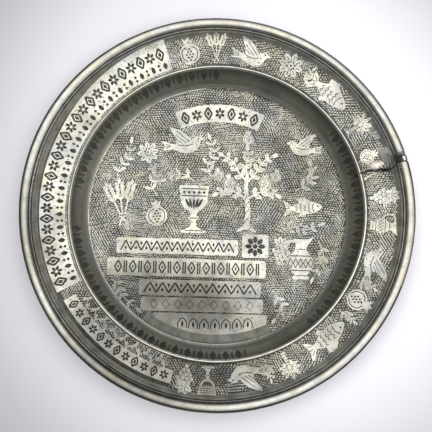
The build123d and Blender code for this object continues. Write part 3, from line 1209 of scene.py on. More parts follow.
def floor_design():
    """The floor's figures: bands below, motifs and sprigs above, and a curved band at the top."""
    design = Figure()
    here = at(0, 0)
    design.take(zigzag_band(-92, 20, -38, -23.5, 9.5), here)
    design.take(lozenge_band(-100, 46, -58.5, -42, 13.5), here)
    design.take(zigzag_band(-70, 42, -76, -61.5, 11.5), here)
    worn = band(-68, 44, -90.2, -77.4)
    for number in range(9):
        worn.cut.extend(lozenge_ring(-56 + number * 11, -83.8, 3.4, 4.2, 0.5))
    design.take(worn, here)
    brink = BARE_RADIUS / MM / FLOOR_SCALE
    arcade = arcade_band(-57, 48, -104, -91.5, 10.0, 6.5)
    arcade.raised = [[point * min(1.0, brink / point.length) for point in line] for line in arcade.raised]
    arcade.cut = [line for line in arcade.cut if all(-35 < point.x < 36 for point in line)]
    design.take(arcade, here)
    design.take(band(23.5, 48, -39.5, -18), here)
    design.cut.extend([[at(35.7, -38.6, 0, 0.97)(p) for p in line] for line in rosette().raised])
    for motif, x, y, turn, size, flip in FLOOR_MOTIFS:
        design.take(motif(), at(x, y, turn, size, flip))
    for stem, pairs, length, width in FLOOR_SPRIGS:
        design.take(sprig(points_of(*stem), pairs, length, width), here)
    canopy = rim_band(66, 114, 87, 103.5)
    rim_ornaments(canopy, 67, 113, 95.2, 9.6, tall_ornament)
    design.take(canopy, here)
    return Figure().take(design, at(0, 0, 0, FLOOR_SCALE))


RIM_MOTIFS = (  # where each stands in degrees, what it is, its size, and -1 where it faces the other way
    (101.5, pomegranate, 1.2, 1),
    (92.0, sheaf, 0.92, 1),
    (79.0, dove, 1.08, 1),
    (65.0, rosette, 1.2, 1),
    (48.5, fish, 1.26, 1),
    (33.0, palm, 0.93, 1),
    (21.8, pomegranate, 0.86, 1),
    (6.5, grapes, 1.0, 1),
    (-3.5, jug, 0.73, 1),
    (-17.0, dove, 1.08, -1),
    (-31.0, pomegranate, 1.2, 1),
    (-48.0, fish, 1.26, -1),
    (-64.0, palm, 0.93, 1),
    (-79.0, dove, 1.08, 1),
    (-92.0, goblet, 0.73, 1),
    (-99.8, grapes, 0.98, 1),
)
RIM_SPRIGS = (57.6, -25.0, -37.6, -71.0)  # degrees


def rim_design():
    """The flange's figures: a bright panel, a narrow ribbon, and single motifs with sprigs between them."""
    design = Figure()
    here = at(0, 0)
    panel = rim_band(PANEL_START, PANEL_END, *PANEL_RADII)
    margin = [polar(162.0, math.radians(PANEL_START + step), 0).xy for step in range(46)]
    panel.raised.append(stroke(margin, 11.0, 0.6))  # the panel is wider at its upper end
    rim_ornaments(panel, PANEL_START + 1, PANEL_END - 1, TALL_ROW, 9.6, tall_ornament)
    rim_ornaments(panel, PANEL_START + 1, PANEL_END - 1, LOW_ROW, 5.9, low_ornament)
    design.take(panel, here)
    ribbon = rim_band(RIBBON_START, RIBBON_END, *RIBBON_RADII)
    rim_ornaments(ribbon, RIBBON_START + 1, RIBBON_END - 1, RIBBON_ROW, 9.2, ribbon_ornament)
    design.take(ribbon, here)
    arc = math.radians(RIBBON_END - RIBBON_START) * (VINE_ROW - 0.5)
    curl = Figure().take(vine(arc - 4, 13.5), at(2 - arc / 2, 0))
    design.take(curl, on_rim((RIBBON_START + RIBBON_END) / 2, VINE_ROW))
    for angle, motif, size, flip in RIM_MOTIFS:
        drawn = motif()
        lowest = min(point.y for line in drawn.raised for point in line)
        design.take(drawn, on_rim(angle, RIM_FOOT - lowest * size, size, flip))
    burr = [polar(radius, math.radians(angle), 0).xy for radius, angle in BURR]
    design.raised.append(stroke(smooth(burr, closed=False), 1.3, 0.9))
    twig = sprig(points_of((0, 0), (0.8, 6), (-0.6, 11), (0, 16)), 4, 6.0, 2.2)
    for angle in RIM_SPRIGS:
        design.take(twig, on_rim(angle, 141.5))
    return design


def facing_up(line):
    """The same outline, counter-clockwise."""
    area = sum(start.cross(end) for start, end in zip(line, line[1:] + line[:1]))
    return line if area > 0 else line[::-1]


def relief_mesh(name, design, surfaces, spacing, level):
    """Closed mesh of a design laid on surfaces: standing tops, floors of its cuts, and a sunk underside."""
    lines = [divided(facing_up(line), 2.6) for line in design.raised + design.cut]
    points = []
    loops = []
    for line in lines:
        loops.append(list(range(len(points), len(points) + len(line))))
        points.extend(line)
    reach = PLATE_RADIUS / MM
    steps = int(2 * reach / spacing)
    grid = [-reach + spacing * (step + 0.37) for step in range(steps)]
    points.extend(Vector((x, y)) for x in grid for y in grid if math.hypot(x, y) < reach)
    plan, _, triangles, _, _, sources = delaunay_2d_cdt(points, [], loops, 1, 0.002)
    standing = len(design.raised)
    layers = (-0.3 * MM, 0.05 * MM, bpy.context.scene.plate_sizes.relief)  # underside, cut floor, top
    kinds = {}
    for triangle, source in zip(triangles, sources):
        if any(number < standing for number in source):
            is_cut = any(number >= standing for number in source)
            kinds[tuple(triangle)] = 1 if is_cut else 2
    beside = {}
    for triangle, kind in kinds.items():
        for start, end in zip(triangle, triangle[1:] + triangle[:1]):
            beside[start, end] = kind
    ground = {}
    made = {}
    mesh_points = []

    def vertex(number, layer):
        """Number of the mesh's point over a point of the plan, made on first use."""
        if number not in ground:
            place = plan[number] * MM
            ground[number] = Vector((*place, height_over(surfaces, place, level)))
        if (number, layer) not in made:
            made[number, layer] = len(mesh_points)
            mesh_points.append(ground[number] + Vector((0, 0, layers[layer])))
        return made[number, layer]

    faces = []
    finishes = []
    for triangle, kind in kinds.items():
        faces.append([vertex(number, kind) for number in triangle])
        finishes.append(2 - kind)
        faces.append([vertex(number, 0) for number in reversed(triangle)])
        finishes.append(1)
        for start, end in zip(triangle, triangle[1:] + triangle[:1]):
            lower = beside.get((end, start), 0)
            if lower < kind:
                side = ((start, lower), (end, lower), (end, kind), (start, kind))
                faces.append([vertex(number, layer) for number, layer in side])
                finishes.append(1)
    mesh = bpy.data.meshes.new(name)
    mesh.from_pydata(mesh_points, [], faces)
    mesh.polygons.foreach_set("material_index", finishes)
    mesh.update()
    return mesh


# Finishes


# What the bead and the lip wire share
POLISHED = {"colour": "bright", "share": 0.86, "clouds": 0.74, "roughness": 0.2, "cloud": 9, "turning": 2.3}
FINISHES = {  # shares are of the named colour, sizes are in millimetres
    # Pewter that hands have kept bright: softly blurred reflections, with grey clouds and dark pits
    "rubbed_pewter": {
        "colour": "bright", "clouds": 0.58, "roughness": 0.26, "cloud": 24, "pit": 1.7, "wave": 24,
    },
    # Bead, polished by every hand that lifts the plate: brightest and sharpest, with painted shade at the
    # lower left
    "polished_pewter": {**POLISHED, "patches": BEAD_SHADE},
    # Lip wire, polished like the bead, with painted shade on the left and painted light on the right
    "polished_wire": {**POLISHED, "patches": WIRE_SHADE_AND_LIGHT},
    # Reed, and the bead's end above the break: grey, between the bright bead and its dark groove; painted
    # shade on the end
    "dulled_pewter": {"colour": "grey", "clouds": 0.75, "roughness": 0.36, "cloud": 9},
    # Hatched ridges: bright only on their tops, so greyer than the figures
    "rubbed_ridges": {
        "colour": "bright", "share": 0.88, "clouds": 0.62, "roughness": 0.36, "cloud": 16, "pit": 2.2,
    },
    # Ground between the ridges, worked over with a graver: grey and matt, darker where dirt stays
    "hatched_ground": {"colour": "ground", "clouds": 0.6, "roughness": 0.5, "cloud": 8, "pit": 1.3},
    # Hollow of the flange inside the reed, and part of the floor's bend, never hatched: plain grey and smooth
    "bare_hollow": {
        "colour": "ground", "share": 1.45, "clouds": 0.62, "roughness": 0.42, "cloud": 12, "patch_strength": 0.3,
    },
    # Cuts and grooves that no cloth reaches: dark and matt
    "graver_cut_patina": {"colour": "patina", "clouds": 0.6, "roughness": 0.55, "cloud": 9, "pit": 1.6},
    # Outer side of the edge, and the fill of the crack and the strip's gap: painted shade, dark and matt
    "tarnished_edge": {
        "colour": "ground", "share": 0.12, "clouds": 0.6, "roughness": 0.6, "cloud": 10, "metal": 0.1,
    },
    # Old cuts in the wall, worn and softened by cleaning: only a little darker than the wall
    "faded_cuts": {
        "colour": "ground", "share": 1.25, "clouds": 0.7, "roughness": 0.45, "cloud": 6, "patches": (),
    },
    # Wall: grey with fine rings from the lathe, and darker under the lip: painted shade
    "greyed_turned_pewter": {
        "colour": "grey", "share": 1.25, "clouds": 0.86, "roughness": 0.34, "cloud": 14, "pit": 2.0,
        "turning": 1.5, "lip_shade": 24, "patches": WALL_LIGHTER,
    },
    # Underside, worn by tables: dull grey with coarser rings
    "worn_underside_pewter": {
        "colour": "grey", "clouds": 0.7, "roughness": 0.46, "cloud": 22, "pit": 2.4, "turning": 2.4,
    },
    # Solder wiped on with a cloth: smooth, dull and slightly lumpy
    "wiped_tin_solder": {
        "colour": "solder", "clouds": 0.7, "roughness": 0.3, "cloud": 6, "pit": 2.6, "wave": 5,
    },
    # Solder with flux left on it: pale, pinkish and matt, with brown patches
    "fluxed_solder": {
        "colour": "flux", "clouds": 0.6, "roughness": 0.45, "cloud": 3, "pit": 1.4, "patches": (),
    },
}


WARM_TINT = (1.0, 0.995, 0.95, 1)  # thin oxide films tint the metal ivory in places and bluish in others
COOL_TINT = (0.95, 0.975, 1.04, 1)


def shade(colour, share):
    """The same colour, darker or lighter, with its alpha."""
    return (*[min(part * share, 1.0) for part in colour], 1.0)


def finish_named(name):
    """One of the plate's finishes, made on first use."""
    return bpy.data.materials.get(name) or pewter(name, **FINISHES[name])


def pewter(
    name, colour, clouds, roughness, cloud, pit=0, share=1.0, wave=0, turning=0, lip_shade=0, metal=1.0, patch_strength=1.0,
    patches=SHADE_AND_DARK_PATCHES,
):
    """Cast and hand-worked metal: cloudy tone and fine scratches.

    It may also have small pits, broad waves from the hammer, rings from the lathe, and painted shade above a
    height.
    """
    base = getattr(bpy.context.scene.plate_colours, colour)
    finish = bpy.data.materials.new(name)
    finish.use_nodes = True
    tree = finish.node_tree
    spot = add(tree, "ShaderNodeTexCoord", {})["Object"]
    cloudy = {"Vector": spot, "Scale": 1 / (cloud * MM), "Detail": 5.0, "Roughness": 0.62}
    clouding = add(tree, "ShaderNodeTexNoise", cloudy)["Fac"]
    tone = add(tree, "ShaderNodeMapRange", {"Value": clouding, "From Min": 0.36, "From Max": 0.66})
    dark = share * clouds
    mottled = {"data_type": "RGBA", 0: tone[0], 6: shade(base, share), 7: shade(base, dark)}
    skin = add(tree, "ShaderNodeMix", mottled)[2]
    oxide = add(tree, "ShaderNodeTexNoise", {"Vector": spot, "Scale": 1 / (30 * MM), "Detail": 2.0})["Fac"]
    warmth = add(tree, "ShaderNodeMapRange", {"Value": oxide, "From Min": 0.4, "From Max": 0.6})
    tint = add(tree, "ShaderNodeMix", {"data_type": "RGBA", 0: warmth[0], 6: WARM_TINT, 7: COOL_TINT})
    tinted = {"data_type": "RGBA", "blend_type": "MULTIPLY", 0: 1.0, 6: skin, 7: tint[2]}
    skin = add(tree, "ShaderNodeMix", tinted)[2]
    worn = {"From Min": 0.3, "From Max": 0.7, "To Min": roughness - 0.06, "To Max": roughness + 0.1}
    dullness = add(tree, "ShaderNodeMapRange", {"Value": clouding, **worn})
    stretched = add(tree, "ShaderNodeMapping", {"Vector": spot, "Rotation": (0, 0, 0.6), "Scale": (1, 14, 1)})
    fine = {"Vector": stretched[0], "Scale": 1 / (9 * MM), "Detail": 3.0}
    scratches = add(tree, "ShaderNodeTexNoise", fine)
    scored = {"Height": scratches["Fac"], "Strength": 0.25, "Distance": 0.12 * MM}
    surface = add(tree, "ShaderNodeBump", scored)
    # painted shade under the lip: the colour darkens from a height upwards
    if lip_shade:
        height = add(tree, "ShaderNodeSeparateXYZ", {0: spot})[2]
        thick = {"Value": height, "From Min": 0.6 * lip_shade * MM, "From Max": lip_shade * MM, "To Max": 0.85}
        cover = add(tree, "ShaderNodeMapRange", thick)
        lip_shaded = {"data_type": "RGBA", 0: cover[0], 6: skin, 7: shade(base, dark * 0.4)}
        skin = add(tree, "ShaderNodeMix", lip_shaded)[2]
    # each patch multiplies the colour: painted shade, painted dark reflection, painted light or a darker
    # place
    for place, near, far, depth in patches:
        apart = {"operation": "DISTANCE", 0: spot, 1: Vector(place) * MM}
        away = add(tree, "ShaderNodeVectorMath", apart)["Value"]
        fading = {"Value": away, "From Min": near * MM, "From Max": far * MM, "To Min": 1 - patch_strength * depth}
        thin = add(tree, "ShaderNodeMapRange", {"interpolation_type": "SMOOTHSTEP", **fading})
        patch_mix = {"data_type": "RGBA", "blend_type": "MULTIPLY", 0: 1.0, 6: skin, 7: thin[0]}
        skin = add(tree, "ShaderNodeMix", patch_mix)[2]
    if pit:
        grain = add(tree, "ShaderNodeTexNoise", {"Vector": spot, "Scale": 1 / (pit * MM)})["Fac"]
        pits = add(tree, "ShaderNodeMapRange", {"Value": grain, "From Min": 0.6, "From Max": 0.72})[0]
        pitted = {"data_type": "RGBA", 0: pits, 6: skin, 7: shade(base, dark * 0.45)}
        skin = add(tree, "ShaderNodeMix", pitted)[2]
        sunk = {"Height": pits, "Normal": surface[0], "Strength": 0.6, "Distance": 0.25 * MM, "invert": True}
        surface = add(tree, "ShaderNodeBump", sunk)
    if wave:
        waves = add(tree, "ShaderNodeTexNoise", {"Vector": spot, "Scale": 1 / (wave * MM), "Detail": 1.0})
        waved = {"Height": waves["Fac"], "Normal": surface[0], "Strength": 1.0, "Distance": 0.11 * wave * MM}
        surface = add(tree, "ShaderNodeBump", waved)
    if turning:
        flat = add(tree, "ShaderNodeVectorMath", {"operation": "MULTIPLY", 0: spot, 1: (1, 1, 0)})
        distance = add(tree, "ShaderNodeVectorMath", {"operation": "LENGTH", 0: flat[0]})["Value"]
        rounds = {"operation": "MULTIPLY", 0: distance, 1: math.tau / (turning * MM)}
        phase = add(tree, "ShaderNodeMath", rounds)
        rings = add(tree, "ShaderNodeMath", {"operation": "SINE", 0: phase[0]})
        ringed = {"Height": rings[0], "Normal": surface[0], "Strength": 0.2, "Distance": 0.06 * MM}
        surface = add(tree, "ShaderNodeBump", ringed)
    shader = tree.nodes["Principled BSDF"]
    shader.inputs["Metallic"].default_value = metal
    tree.links.new(skin, shader.inputs["Base Color"])
    tree.links.new(dullness[0], shader.inputs["Roughness"])
    tree.links.new(surface[0], shader.inputs["Normal"])
    return finish


def dress(piece, *names):
    """Gives a piece its finishes, in the order of its material slots."""
    for name in names:
        piece.data.materials.append(finish_named(name))


def painted_board():
    """Matt painted board: pale, faintly cloudy, with a soft sheen, and painted shade towards the lower left
    and its edges.
    """
    finish = bpy.data.materials.new("painted_board")
    finish.use_nodes = True
    tree = finish.node_tree
    pale = bpy.context.scene.plate_colours.table
    spot = add(tree, "ShaderNodeTexCoord", {})["Object"]
    clouds = add(tree, "ShaderNodeTexNoise", {"Vector": spot, "Scale": 1 / (120 * MM), "Detail": 3.0})
    clouded = {"data_type": "RGBA", 0: clouds["Fac"], 6: shade(pale, 1.0), 7: shade(pale, 0.96)}
    colour = add(tree, "ShaderNodeMix", clouded)
    # painted light: the board is dimmer towards the lower left and towards its far edges, as the light falls
    # off there
    slant = polar(1, math.radians(30), 0)
    across = add(tree, "ShaderNodeVectorMath", {"operation": "DOT_PRODUCT", 0: spot, 1: slant})
    fall = {"Value": across["Value"], "From Min": -0.25, "From Max": 0.2, "To Min": 0.5, "To Max": 1.1}
    light = add(tree, "ShaderNodeMapRange", fall)
    away = add(tree, "ShaderNodeVectorMath", {"operation": "LENGTH", 0: spot})["Value"]
    rim = {"Value": away, "From Min": 0.2, "From Max": 0.3, "To Min": 1.0, "To Max": 0.62}
    edge = add(tree, "ShaderNodeMapRange", rim)
    painted_falloff = add(tree, "ShaderNodeMath", {"operation": "MULTIPLY", 0: light[0], 1: edge[0]})
    dimmed = {"data_type": "RGBA", "blend_type": "MULTIPLY", 0: 1.0, 6: colour[2], 7: painted_falloff[0]}
    colour = add(tree, "ShaderNodeMix", dimmed)
    shader = tree.nodes["Principled BSDF"]
    shader.inputs["Roughness"].default_value = 0.6
    tree.links.new(colour[2], shader.inputs["Base Color"])
    return finish


# Operators, one for each piece or group of like pieces


class PlateOperator:
    """What the plate's operators share"""

    bl_options = {"REGISTER", "UNDO"}


class PLATE_OT_bowl(PlateOperator, bpy.types.Operator):
    """Turns the bowl: floor, wall and seat"""

    bl_idname = "plate.bowl"
    bl_label = "Bowl"

    def execute(self, context):
        section = divided(section_of("bowl", AWAY_FROM_BREAK), 6 * MM, closed=False)
        piece = new_piece("plate_bowl", turned_mesh("plate_bowl", section, 360))
        dress(piece, "hatched_ground", "greyed_turned_pewter", "worn_underside_pewter", "bare_hollow")
        for face in piece.data.polygons:
            distance = math.hypot(face.center.x, face.center.y)
            bearing = math.degrees(math.atan2(face.center.y, face.center.x)) % 360
            if face.normal.z < 0.15:
                face.material_index = 2
            elif distance > FLOOR_WORK:
                face.material_index = 1
            elif distance > BARE_RADIUS and BARE_BEND[0] < bearing < BARE_BEND[1]:
                face.material_index = 3
        settle(piece.data)
        soften(piece.data)
        hand_over(piece, "pewter", "bowl")
        return {"FINISHED"}


class PLATE_OT_flange(PlateOperator, bpy.types.Operator):
    """Turns the broad flange and lets the crack part it, with its edges bent up where it tore"""

    bl_idname = "plate.flange"
    bl_label = "Flange"

    def execute(self, context):
        section = divided(section_of("rim_flange", AWAY_FROM_BREAK), 2.4 * MM)
        near = [0, 0.0004, 0.001, 0.0018, 0.003, 0.0045, 0.0065]  # shares of the turn, crowded at the crack
        steps = 330
        middle = [0.009 + (1 - 0.018) * step / steps for step in range(steps + 1)]
        turns = near + middle + [1 - share for share in reversed(near)]
        piece = new_piece("plate_flange", split_ring_mesh("plate_flange", section, turns))
        dress(piece, "hatched_ground", "bare_hollow", "worn_underside_pewter", "graver_cut_patina")
        for face in piece.data.polygons:
            distance = math.hypot(face.center.x, face.center.y)
            is_torn = len(face.vertices) > 4
            # faces under the strip and the crack's torn faces take the dark patina; in the crack it is also
            # painted shade
            if distance > STRIP_INNER or is_torn:
                face.material_index = 3
            elif face.normal.z < 0.1:
                face.material_index = 2
            elif distance > HATCH_OUTER:
                face.material_index = 1
        self.bend_torn_edges(piece.data)
        settle(piece.data)
        soften(piece.data)
        hand_over(piece, "pewter", "rim_flange")
        self.fill_crack(surface_of(piece))
        return {"FINISHED"}

    def fill_crack(self, surfaces):
        """Fills the crack with a dark piece of painted shade, so that it shows dark and not the table below.
        """
        steps = 24
        width = FLANGE_OUTER - FLANGE_INNER - 2 * MM  # it ends under the edge strip
        points = []
        faces = []
        for step in range(steps + 1):
            radius = FLANGE_INNER + width * step / steps
            middle = crack_angle(radius)
            half = (crack_width(radius) / 2 + 0.2 * MM) / radius
            top = height_over(surfaces, polar(radius, middle - 5 * half, 0), RIM_LEVEL) - 0.6 * MM
            for aside, drop in ((-half, 0), (half, 0), (half, 0.8 * MM), (-half, 0.8 * MM)):
                points.append(polar(radius, middle + aside, top - drop))
            if step:
                first = 4 * (step - 1)
                sides = [(first + corner, first + (corner + 1) % 4) for corner in range(4)]
                faces.extend((start, end, end + 4, start + 4) for start, end in sides)
        faces.extend([(0, 1, 2, 3), range(4 * steps, 4 * steps + 4)])
        mesh = bpy.data.meshes.new("plate_crack_dirt")
        mesh.from_pydata(points, [], faces)
        outward(mesh)
        shade_fill = new_piece("plate_crack_dirt", mesh)
        dress(shade_fill, "tarnished_edge")
        hand_over(shade_fill, "solder")

    def bend_torn_edges(self, mesh):
        """Lifts the metal along the upper side of the crack and presses down its lower side."""
        for vertex in mesh.vertices:
            radius = math.hypot(vertex.co.x, vertex.co.y)
            angle = math.atan2(vertex.co.y, vertex.co.x)
            aside = (angle - crack_angle(radius)) * radius
            along = swell((radius - 143 * MM) / (7 * MM)) * swell((164 * MM - radius) / (7 * MM))
            fade = along * math.exp(-abs(aside) / (2.4 * MM))
            vertex.co.z += (0.75 * MM if aside > 0 else -0.35 * MM) * fade


class PLATE_OT_lip_wire(PlateOperator, bpy.types.Operator):
    """Sweeps the round-topped wire over the seam between bowl and flange"""

    bl_idname = "plate.lip_wire"
    bl_label = "Lip wire"

    def execute(self, context):
        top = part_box("lip_wire")[1].z
        half = (FLANGE_INNER - WIRE_INNER) / 2
        middle = (FLANGE_INNER + WIRE_INNER) / 2
        shares = [step / 6 for step in range(-6, 7)]
        section = [Vector((middle + half * share, top - 0.8 * MM * abs(share) ** 5)) for share in shares]
        section += [Vector((middle + half, top - 2.2 * MM)), Vector((middle - half, top - 2.2 * MM))]
        joint = WIRE_JOINT / FLANGE_INNER
        finish = finish_named("polished_wire")
        piece = swept_ring("plate_lip_wire", section, BREAK + joint, math.tau - joint, 480, finish)
        settle(piece.data)
        soften(piece.data)
        hand_over(piece, "bright_pewter", "lip_wire")
        return {"FINISHED"}


class PLATE_OT_edge(PlateOperator, bpy.types.Operator):
    """Sweeps the reeded edge strip round to the break, and the short bead piece let into its gap"""

    bl_idname = "plate.edge"
    bl_label = "Edge strip and insert"

    def execute(self, context):
        finish = finish_named("polished_pewter")
        gap = STRIP_GAP / PLATE_RADIUS
        section = section_of("edge_strip", AWAY_FROM_BREAK)
        for point in section:
            if 0.1 * MM < point.x - STRIP_INNER < 1.5 * MM:
                point.x += REED_SHIFT
        strip = swept_ring("plate_edge_strip", section, BREAK + gap, math.tau - gap, 620, finish)
        self.wear(strip.data)
        start = BREAK + INSERT_GAP / PLATE_RADIUS
        turn = INSERT_LENGTH / PLATE_RADIUS
        section = section_of("bead_insert", start + turn / 2)
        insert = swept_ring("plate_bead_insert", section, start, turn, 14, finish)
        for piece, node in ((strip, "edge_strip"), (insert, "bead_insert")):
            dress(piece, "dulled_pewter", "graver_cut_patina", "tarnished_edge")
            self.tarnish(piece.data)
            settle(piece.data)
            soften(piece.data, 50)
            hand_over(piece, "bright_pewter", node)
        self.fill_gap(gap)
        return {"FINISHED"}

    def fill_gap(self, gap):
        """Fills the strip's gap with a dark piece of painted shade, so that the joints beside the insert show
        dark.
        """
        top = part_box("rim_flange")[1].z
        corners = ((170.2, -0.3), (179.5, -0.8), (179.5, 0.4), (174.6, 1.0), (170.2, 0.3))
        section = [Vector((radius * MM, top + height * MM)) for radius, height in corners]
        piece = swept_ring("plate_gap_dirt", section, BREAK, gap, 12, finish_named("tarnished_edge"))
        settle(piece.data)
        hand_over(piece, "solder")

    def tarnish(self, mesh):
        """Leaves the bead bright by a dull reed and dark groove; painted shade on its outer side and end
        above the break.
        """
        for face in mesh.polygons:
            distance = math.hypot(face.center.x, face.center.y) - STRIP_INNER
            angle = math.atan2(face.center.y, face.center.x)
            above = (angle - BREAK) * PLATE_RADIUS - STRIP_GAP
            # the painted shade of the outer side starts further in towards the lower left, away from the
            # light
            outer_shade_start = BEAD_SPAN[1] + 0.4 * MM * math.cos(angle - math.radians(45))
            if distance < BEAD_SPAN[0]:
                is_reed = REED_SPAN[0] < distance < REED_SPAN[1] and face.normal.z > 0.5
                face.material_index = 1 if is_reed else 2
            # outer side and steep faces: painted shade
            elif distance > outer_shade_start or face.normal.z < 0.25:
                face.material_index = 3
            # the bead's end above the break, where it dips: grey painted shade
            elif 0 < above < 3 * MM:
                face.material_index = 1

    def wear(self, mesh):
        """Dents the bead, pushes its end below the break outwards and lowers its end above the break."""
        for vertex in mesh.vertices:
            place = vertex.co.copy()
            angle = math.atan2(place.y, place.x)
            below = (BREAK - angle) * PLATE_RADIUS
            above = -below - STRIP_GAP
            dent = noise.noise(place / (14 * MM)) + 0.4 * noise.noise(place / (6 * MM))
            outwards = -0.12 * MM * max(dent, -0.2)
            if -WELD < below < 40 * MM:
                outwards += 0.25 * MM * (1 - swell(below / (38 * MM)))
            lift = 0.0
            if -WELD < above < 6 * MM:
                lift = -1.6 * MM * (1 - swell(above / (6 * MM)))
            vertex.co = place + polar(outwards, angle, lift)


class PLATE_OT_solder(PlateOperator, bpy.types.Operator):
    """Lays the solder: fillets underneath, the run on the crack and the wiped patch"""

    bl_idname = "plate.solder"
    bl_label = "Solder"

    def execute(self, context):
        finish = finish_named("wiped_tin_solder")
        for node in ("seam_solder", "edge_solder"):
            section = section_of(node, AWAY_FROM_BREAK)
            piece = swept_ring("plate_" + node, section, BREAK, math.tau, 480, finish)
            settle(piece.data)
            soften(piece.data)
            hand_over(piece, "solder", node)
        flange = surface_of(bpy.data.objects["plate_flange"])
        self.blob("crack_solder", flange, (1.05, 1.5), 1.3, 2.9, "fluxed_solder")
        self.blob("wiped_solder", flange, (1.1, 1.2), 0.8, 0.0, "wiped_tin_solder")
        names = ("plate_flange", "plate_edge_strip", "plate_gap_dirt")
        edge = surface_of(*[bpy.data.objects[name] for name in names])
        for radius, angle in ((170.7, 16.0), (170.4, 15.0)):
            middle = polar(radius * MM, math.radians(angle), FLOOR_TOP)
            drop = self.mound(f"plate_solder_drop_{angle}", middle, 0.9 * MM, 1.0 * MM, 1.2, edge)
            dress(drop, "fluxed_solder")
            hand_over(drop, "solder")
        return {"FINISHED"}

    def blob(self, node, surfaces, growth, height, aside, finish):
        """Mound over the oval that a solid covers, grown as the solder spread and moved by millimetres."""
        corners = [v.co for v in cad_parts[node].data.vertices]
        middle = sum(corners, Vector()) / len(corners)
        along = polar(1, math.atan2(middle.y, middle.x), 0)
        across = Vector((-along.y, along.x, 0))
        reach = growth[0] * max(abs((corner - middle).dot(along)) for corner in corners)
        spread = growth[1] * max(abs((corner - middle).dot(across)) for corner in corners)
        piece = self.mound("plate_" + node, middle + across * aside * MM, reach, spread, height, surfaces)
        dress(piece, finish)
        hand_over(piece, "solder", node)

    def mound(self, name, middle, reach, spread, height, surfaces):
        """Low uneven mound, thickest in its middle, that reaches along the radius and spreads across it."""
        along = polar(1, math.atan2(middle.y, middle.x), 0)
        across = Vector((-along.y, along.x, 0))
        rings = 9
        count = 40
        points = []
        faces = []
        for layer in (1, 0):
            for ring in range(rings + 1):
                share = ring / rings
                for step in range(count if ring else 1):
                    turn = math.tau * step / count
                    ragged = 1 + 0.1 * math.sin(3 * turn + 0.7) + 0.05 * math.sin(7 * turn + 2)
                    place = middle + along * math.cos(turn) * reach * share * ragged
                    place += across * math.sin(turn) * spread * share * ragged
                    top = height_over(surfaces, place, middle.z)
                    lumps = 1 + 0.35 * noise.noise(place / (2.6 * MM))
                    rise = height * MM * (1 - share**2.4) * lumps if layer else -0.25 * MM
                    points.append(Vector((place.x, place.y, top + rise)))
        size = 1 + rings * count
        for layer in (0, 1):
            first = layer * size
            for ring in range(rings):
                inner = first + 1 + (ring - 1) * count
                outer = first + 1 + ring * count
                for step in range(count):
                    after = (step + 1) % count
                    if ring == 0:
                        faces.append([first, outer + step, outer + after])
                    else:
                        faces.append([inner + step, outer + step, outer + after, inner + after])
        for step in range(count):
            after = (step + 1) % count
            edge = 1 + (rings - 1) * count
            faces.append([edge + step, edge + after, size + edge + after, size + edge + step])
        mesh = bpy.data.meshes.new(name)
        mesh.from_pydata(points, [], faces)
        outward(mesh)
        soften(mesh)
        return new_piece(name, mesh)


class PLATE_OT_figures(PlateOperator, bpy.types.Operator):
    """Raises the bright figures and bands on the floor and on the flange"""

    bl_idname = "plate.figures"
    bl_label = "Figures"

    def execute(self, context):
        for name, design, base, spacing, level in (
            ("plate_floor_figures", floor_design(), "plate_bowl", 6.0, FLOOR_TOP),
            ("plate_rim_figures", rim_design(), "plate_flange", 2.6, RIM_LEVEL),
        ):
            surfaces = surface_of(bpy.data.objects[base])
            piece = new_piece(name, relief_mesh(name, design, surfaces, spacing, level))
            dress(piece, "rubbed_pewter", "graver_cut_patina")
            soften(piece.data, 30)
            hand_over(piece, "bright_pewter")
        return {"FINISHED"}


class PLATE_OT_hatching(PlateOperator, bpy.types.Operator):
    """Covers the ground round the figures with short ridges"""

    bl_idname = "plate.hatching"
    bl_label = "Hatched ground"

    def execute(self, context):
        sizes = context.scene.plate_sizes
        tree = hatching_tree()
        repair = new_piece("repair_cover", self.repair_cover())
        for name, base, figures, inner, outer, seed in (
            ("plate_floor_hatching", "plate_bowl", "plate_floor_figures", 0, FLOOR_WORK, 3),
            ("plate_rim_hatching", "plate_flange", "plate_rim_figures", HATCH_INNER, HATCH_OUTER, 8),
        ):
            values = {
                "Surface": bpy.data.objects[base],
                "Figures": bpy.data.objects[figures],
                "Repair": repair,
                "Inner Radius": inner,
                "Outer Radius": outer,
                "Pitch": sizes.stroke_pitch,
                "Length": sizes.stroke_length,
                "Width": sizes.stroke_width,
                "Height": sizes.stroke_height,
                "Patch": sizes.patch,
                "Seed": seed,
                "Material": finish_named("rubbed_ridges"),
            }
            hand_over(grown(name, tree, values), "pewter")
        bpy.data.objects.remove(repair)
        return {"FINISHED"}

    def repair_cover(self):
        """Flat cover of what isn't hatched: crack, mended patch, edge of panel and ribbon, and bare bend."""
        radii = [(138 + 2.5 * step) * MM for step in range(14)]
        half = 1.2 * MM
        near = [polar(radius, crack_angle(radius) - half / radius, COVER_HEIGHT) for radius in radii]
        far = [polar(radius, crack_angle(radius) + half * 1.3 / radius, COVER_HEIGHT) for radius in radii]
        steps = range(len(radii) - 1)
        faces = [(step, step + 1, len(radii) + step + 1, len(radii) + step) for step in steps]
        middle = polar(163 * MM, BREAK + 10.5 / 163, COVER_HEIGHT)
        along = middle.normalized() * MM
        across = Vector((-along.y, along.x, 0))
        turns = [math.tau * step / 24 for step in range(24)]
        patch = [middle + along * 6.5 * math.cos(turn) + across * 9.5 * math.sin(turn) for turn in turns]
        first = 2 * len(radii)
        faces.append(range(first, first + len(patch)))
        points = [*near, *far, *patch]
        beside_panel = (round(PANEL_START), round(RIBBON_END), 160 * MM, 168 * MM)
        for start, stop, inner, outer in (beside_panel, (*BARE_BEND, BARE_RADIUS, 125 * MM)):
            for angle in range(start, stop):
                first = len(points)
                faces.append(range(first, first + 4))
                corners = ((inner, angle), (outer, angle), (outer, angle + 1), (inner, angle + 1))
                for radius, bearing in corners:
                    points.append(polar(radius, math.radians(bearing), COVER_HEIGHT))
        mesh = bpy.data.meshes.new("repair_cover")
        mesh.from_pydata(points, [], faces)
        return mesh


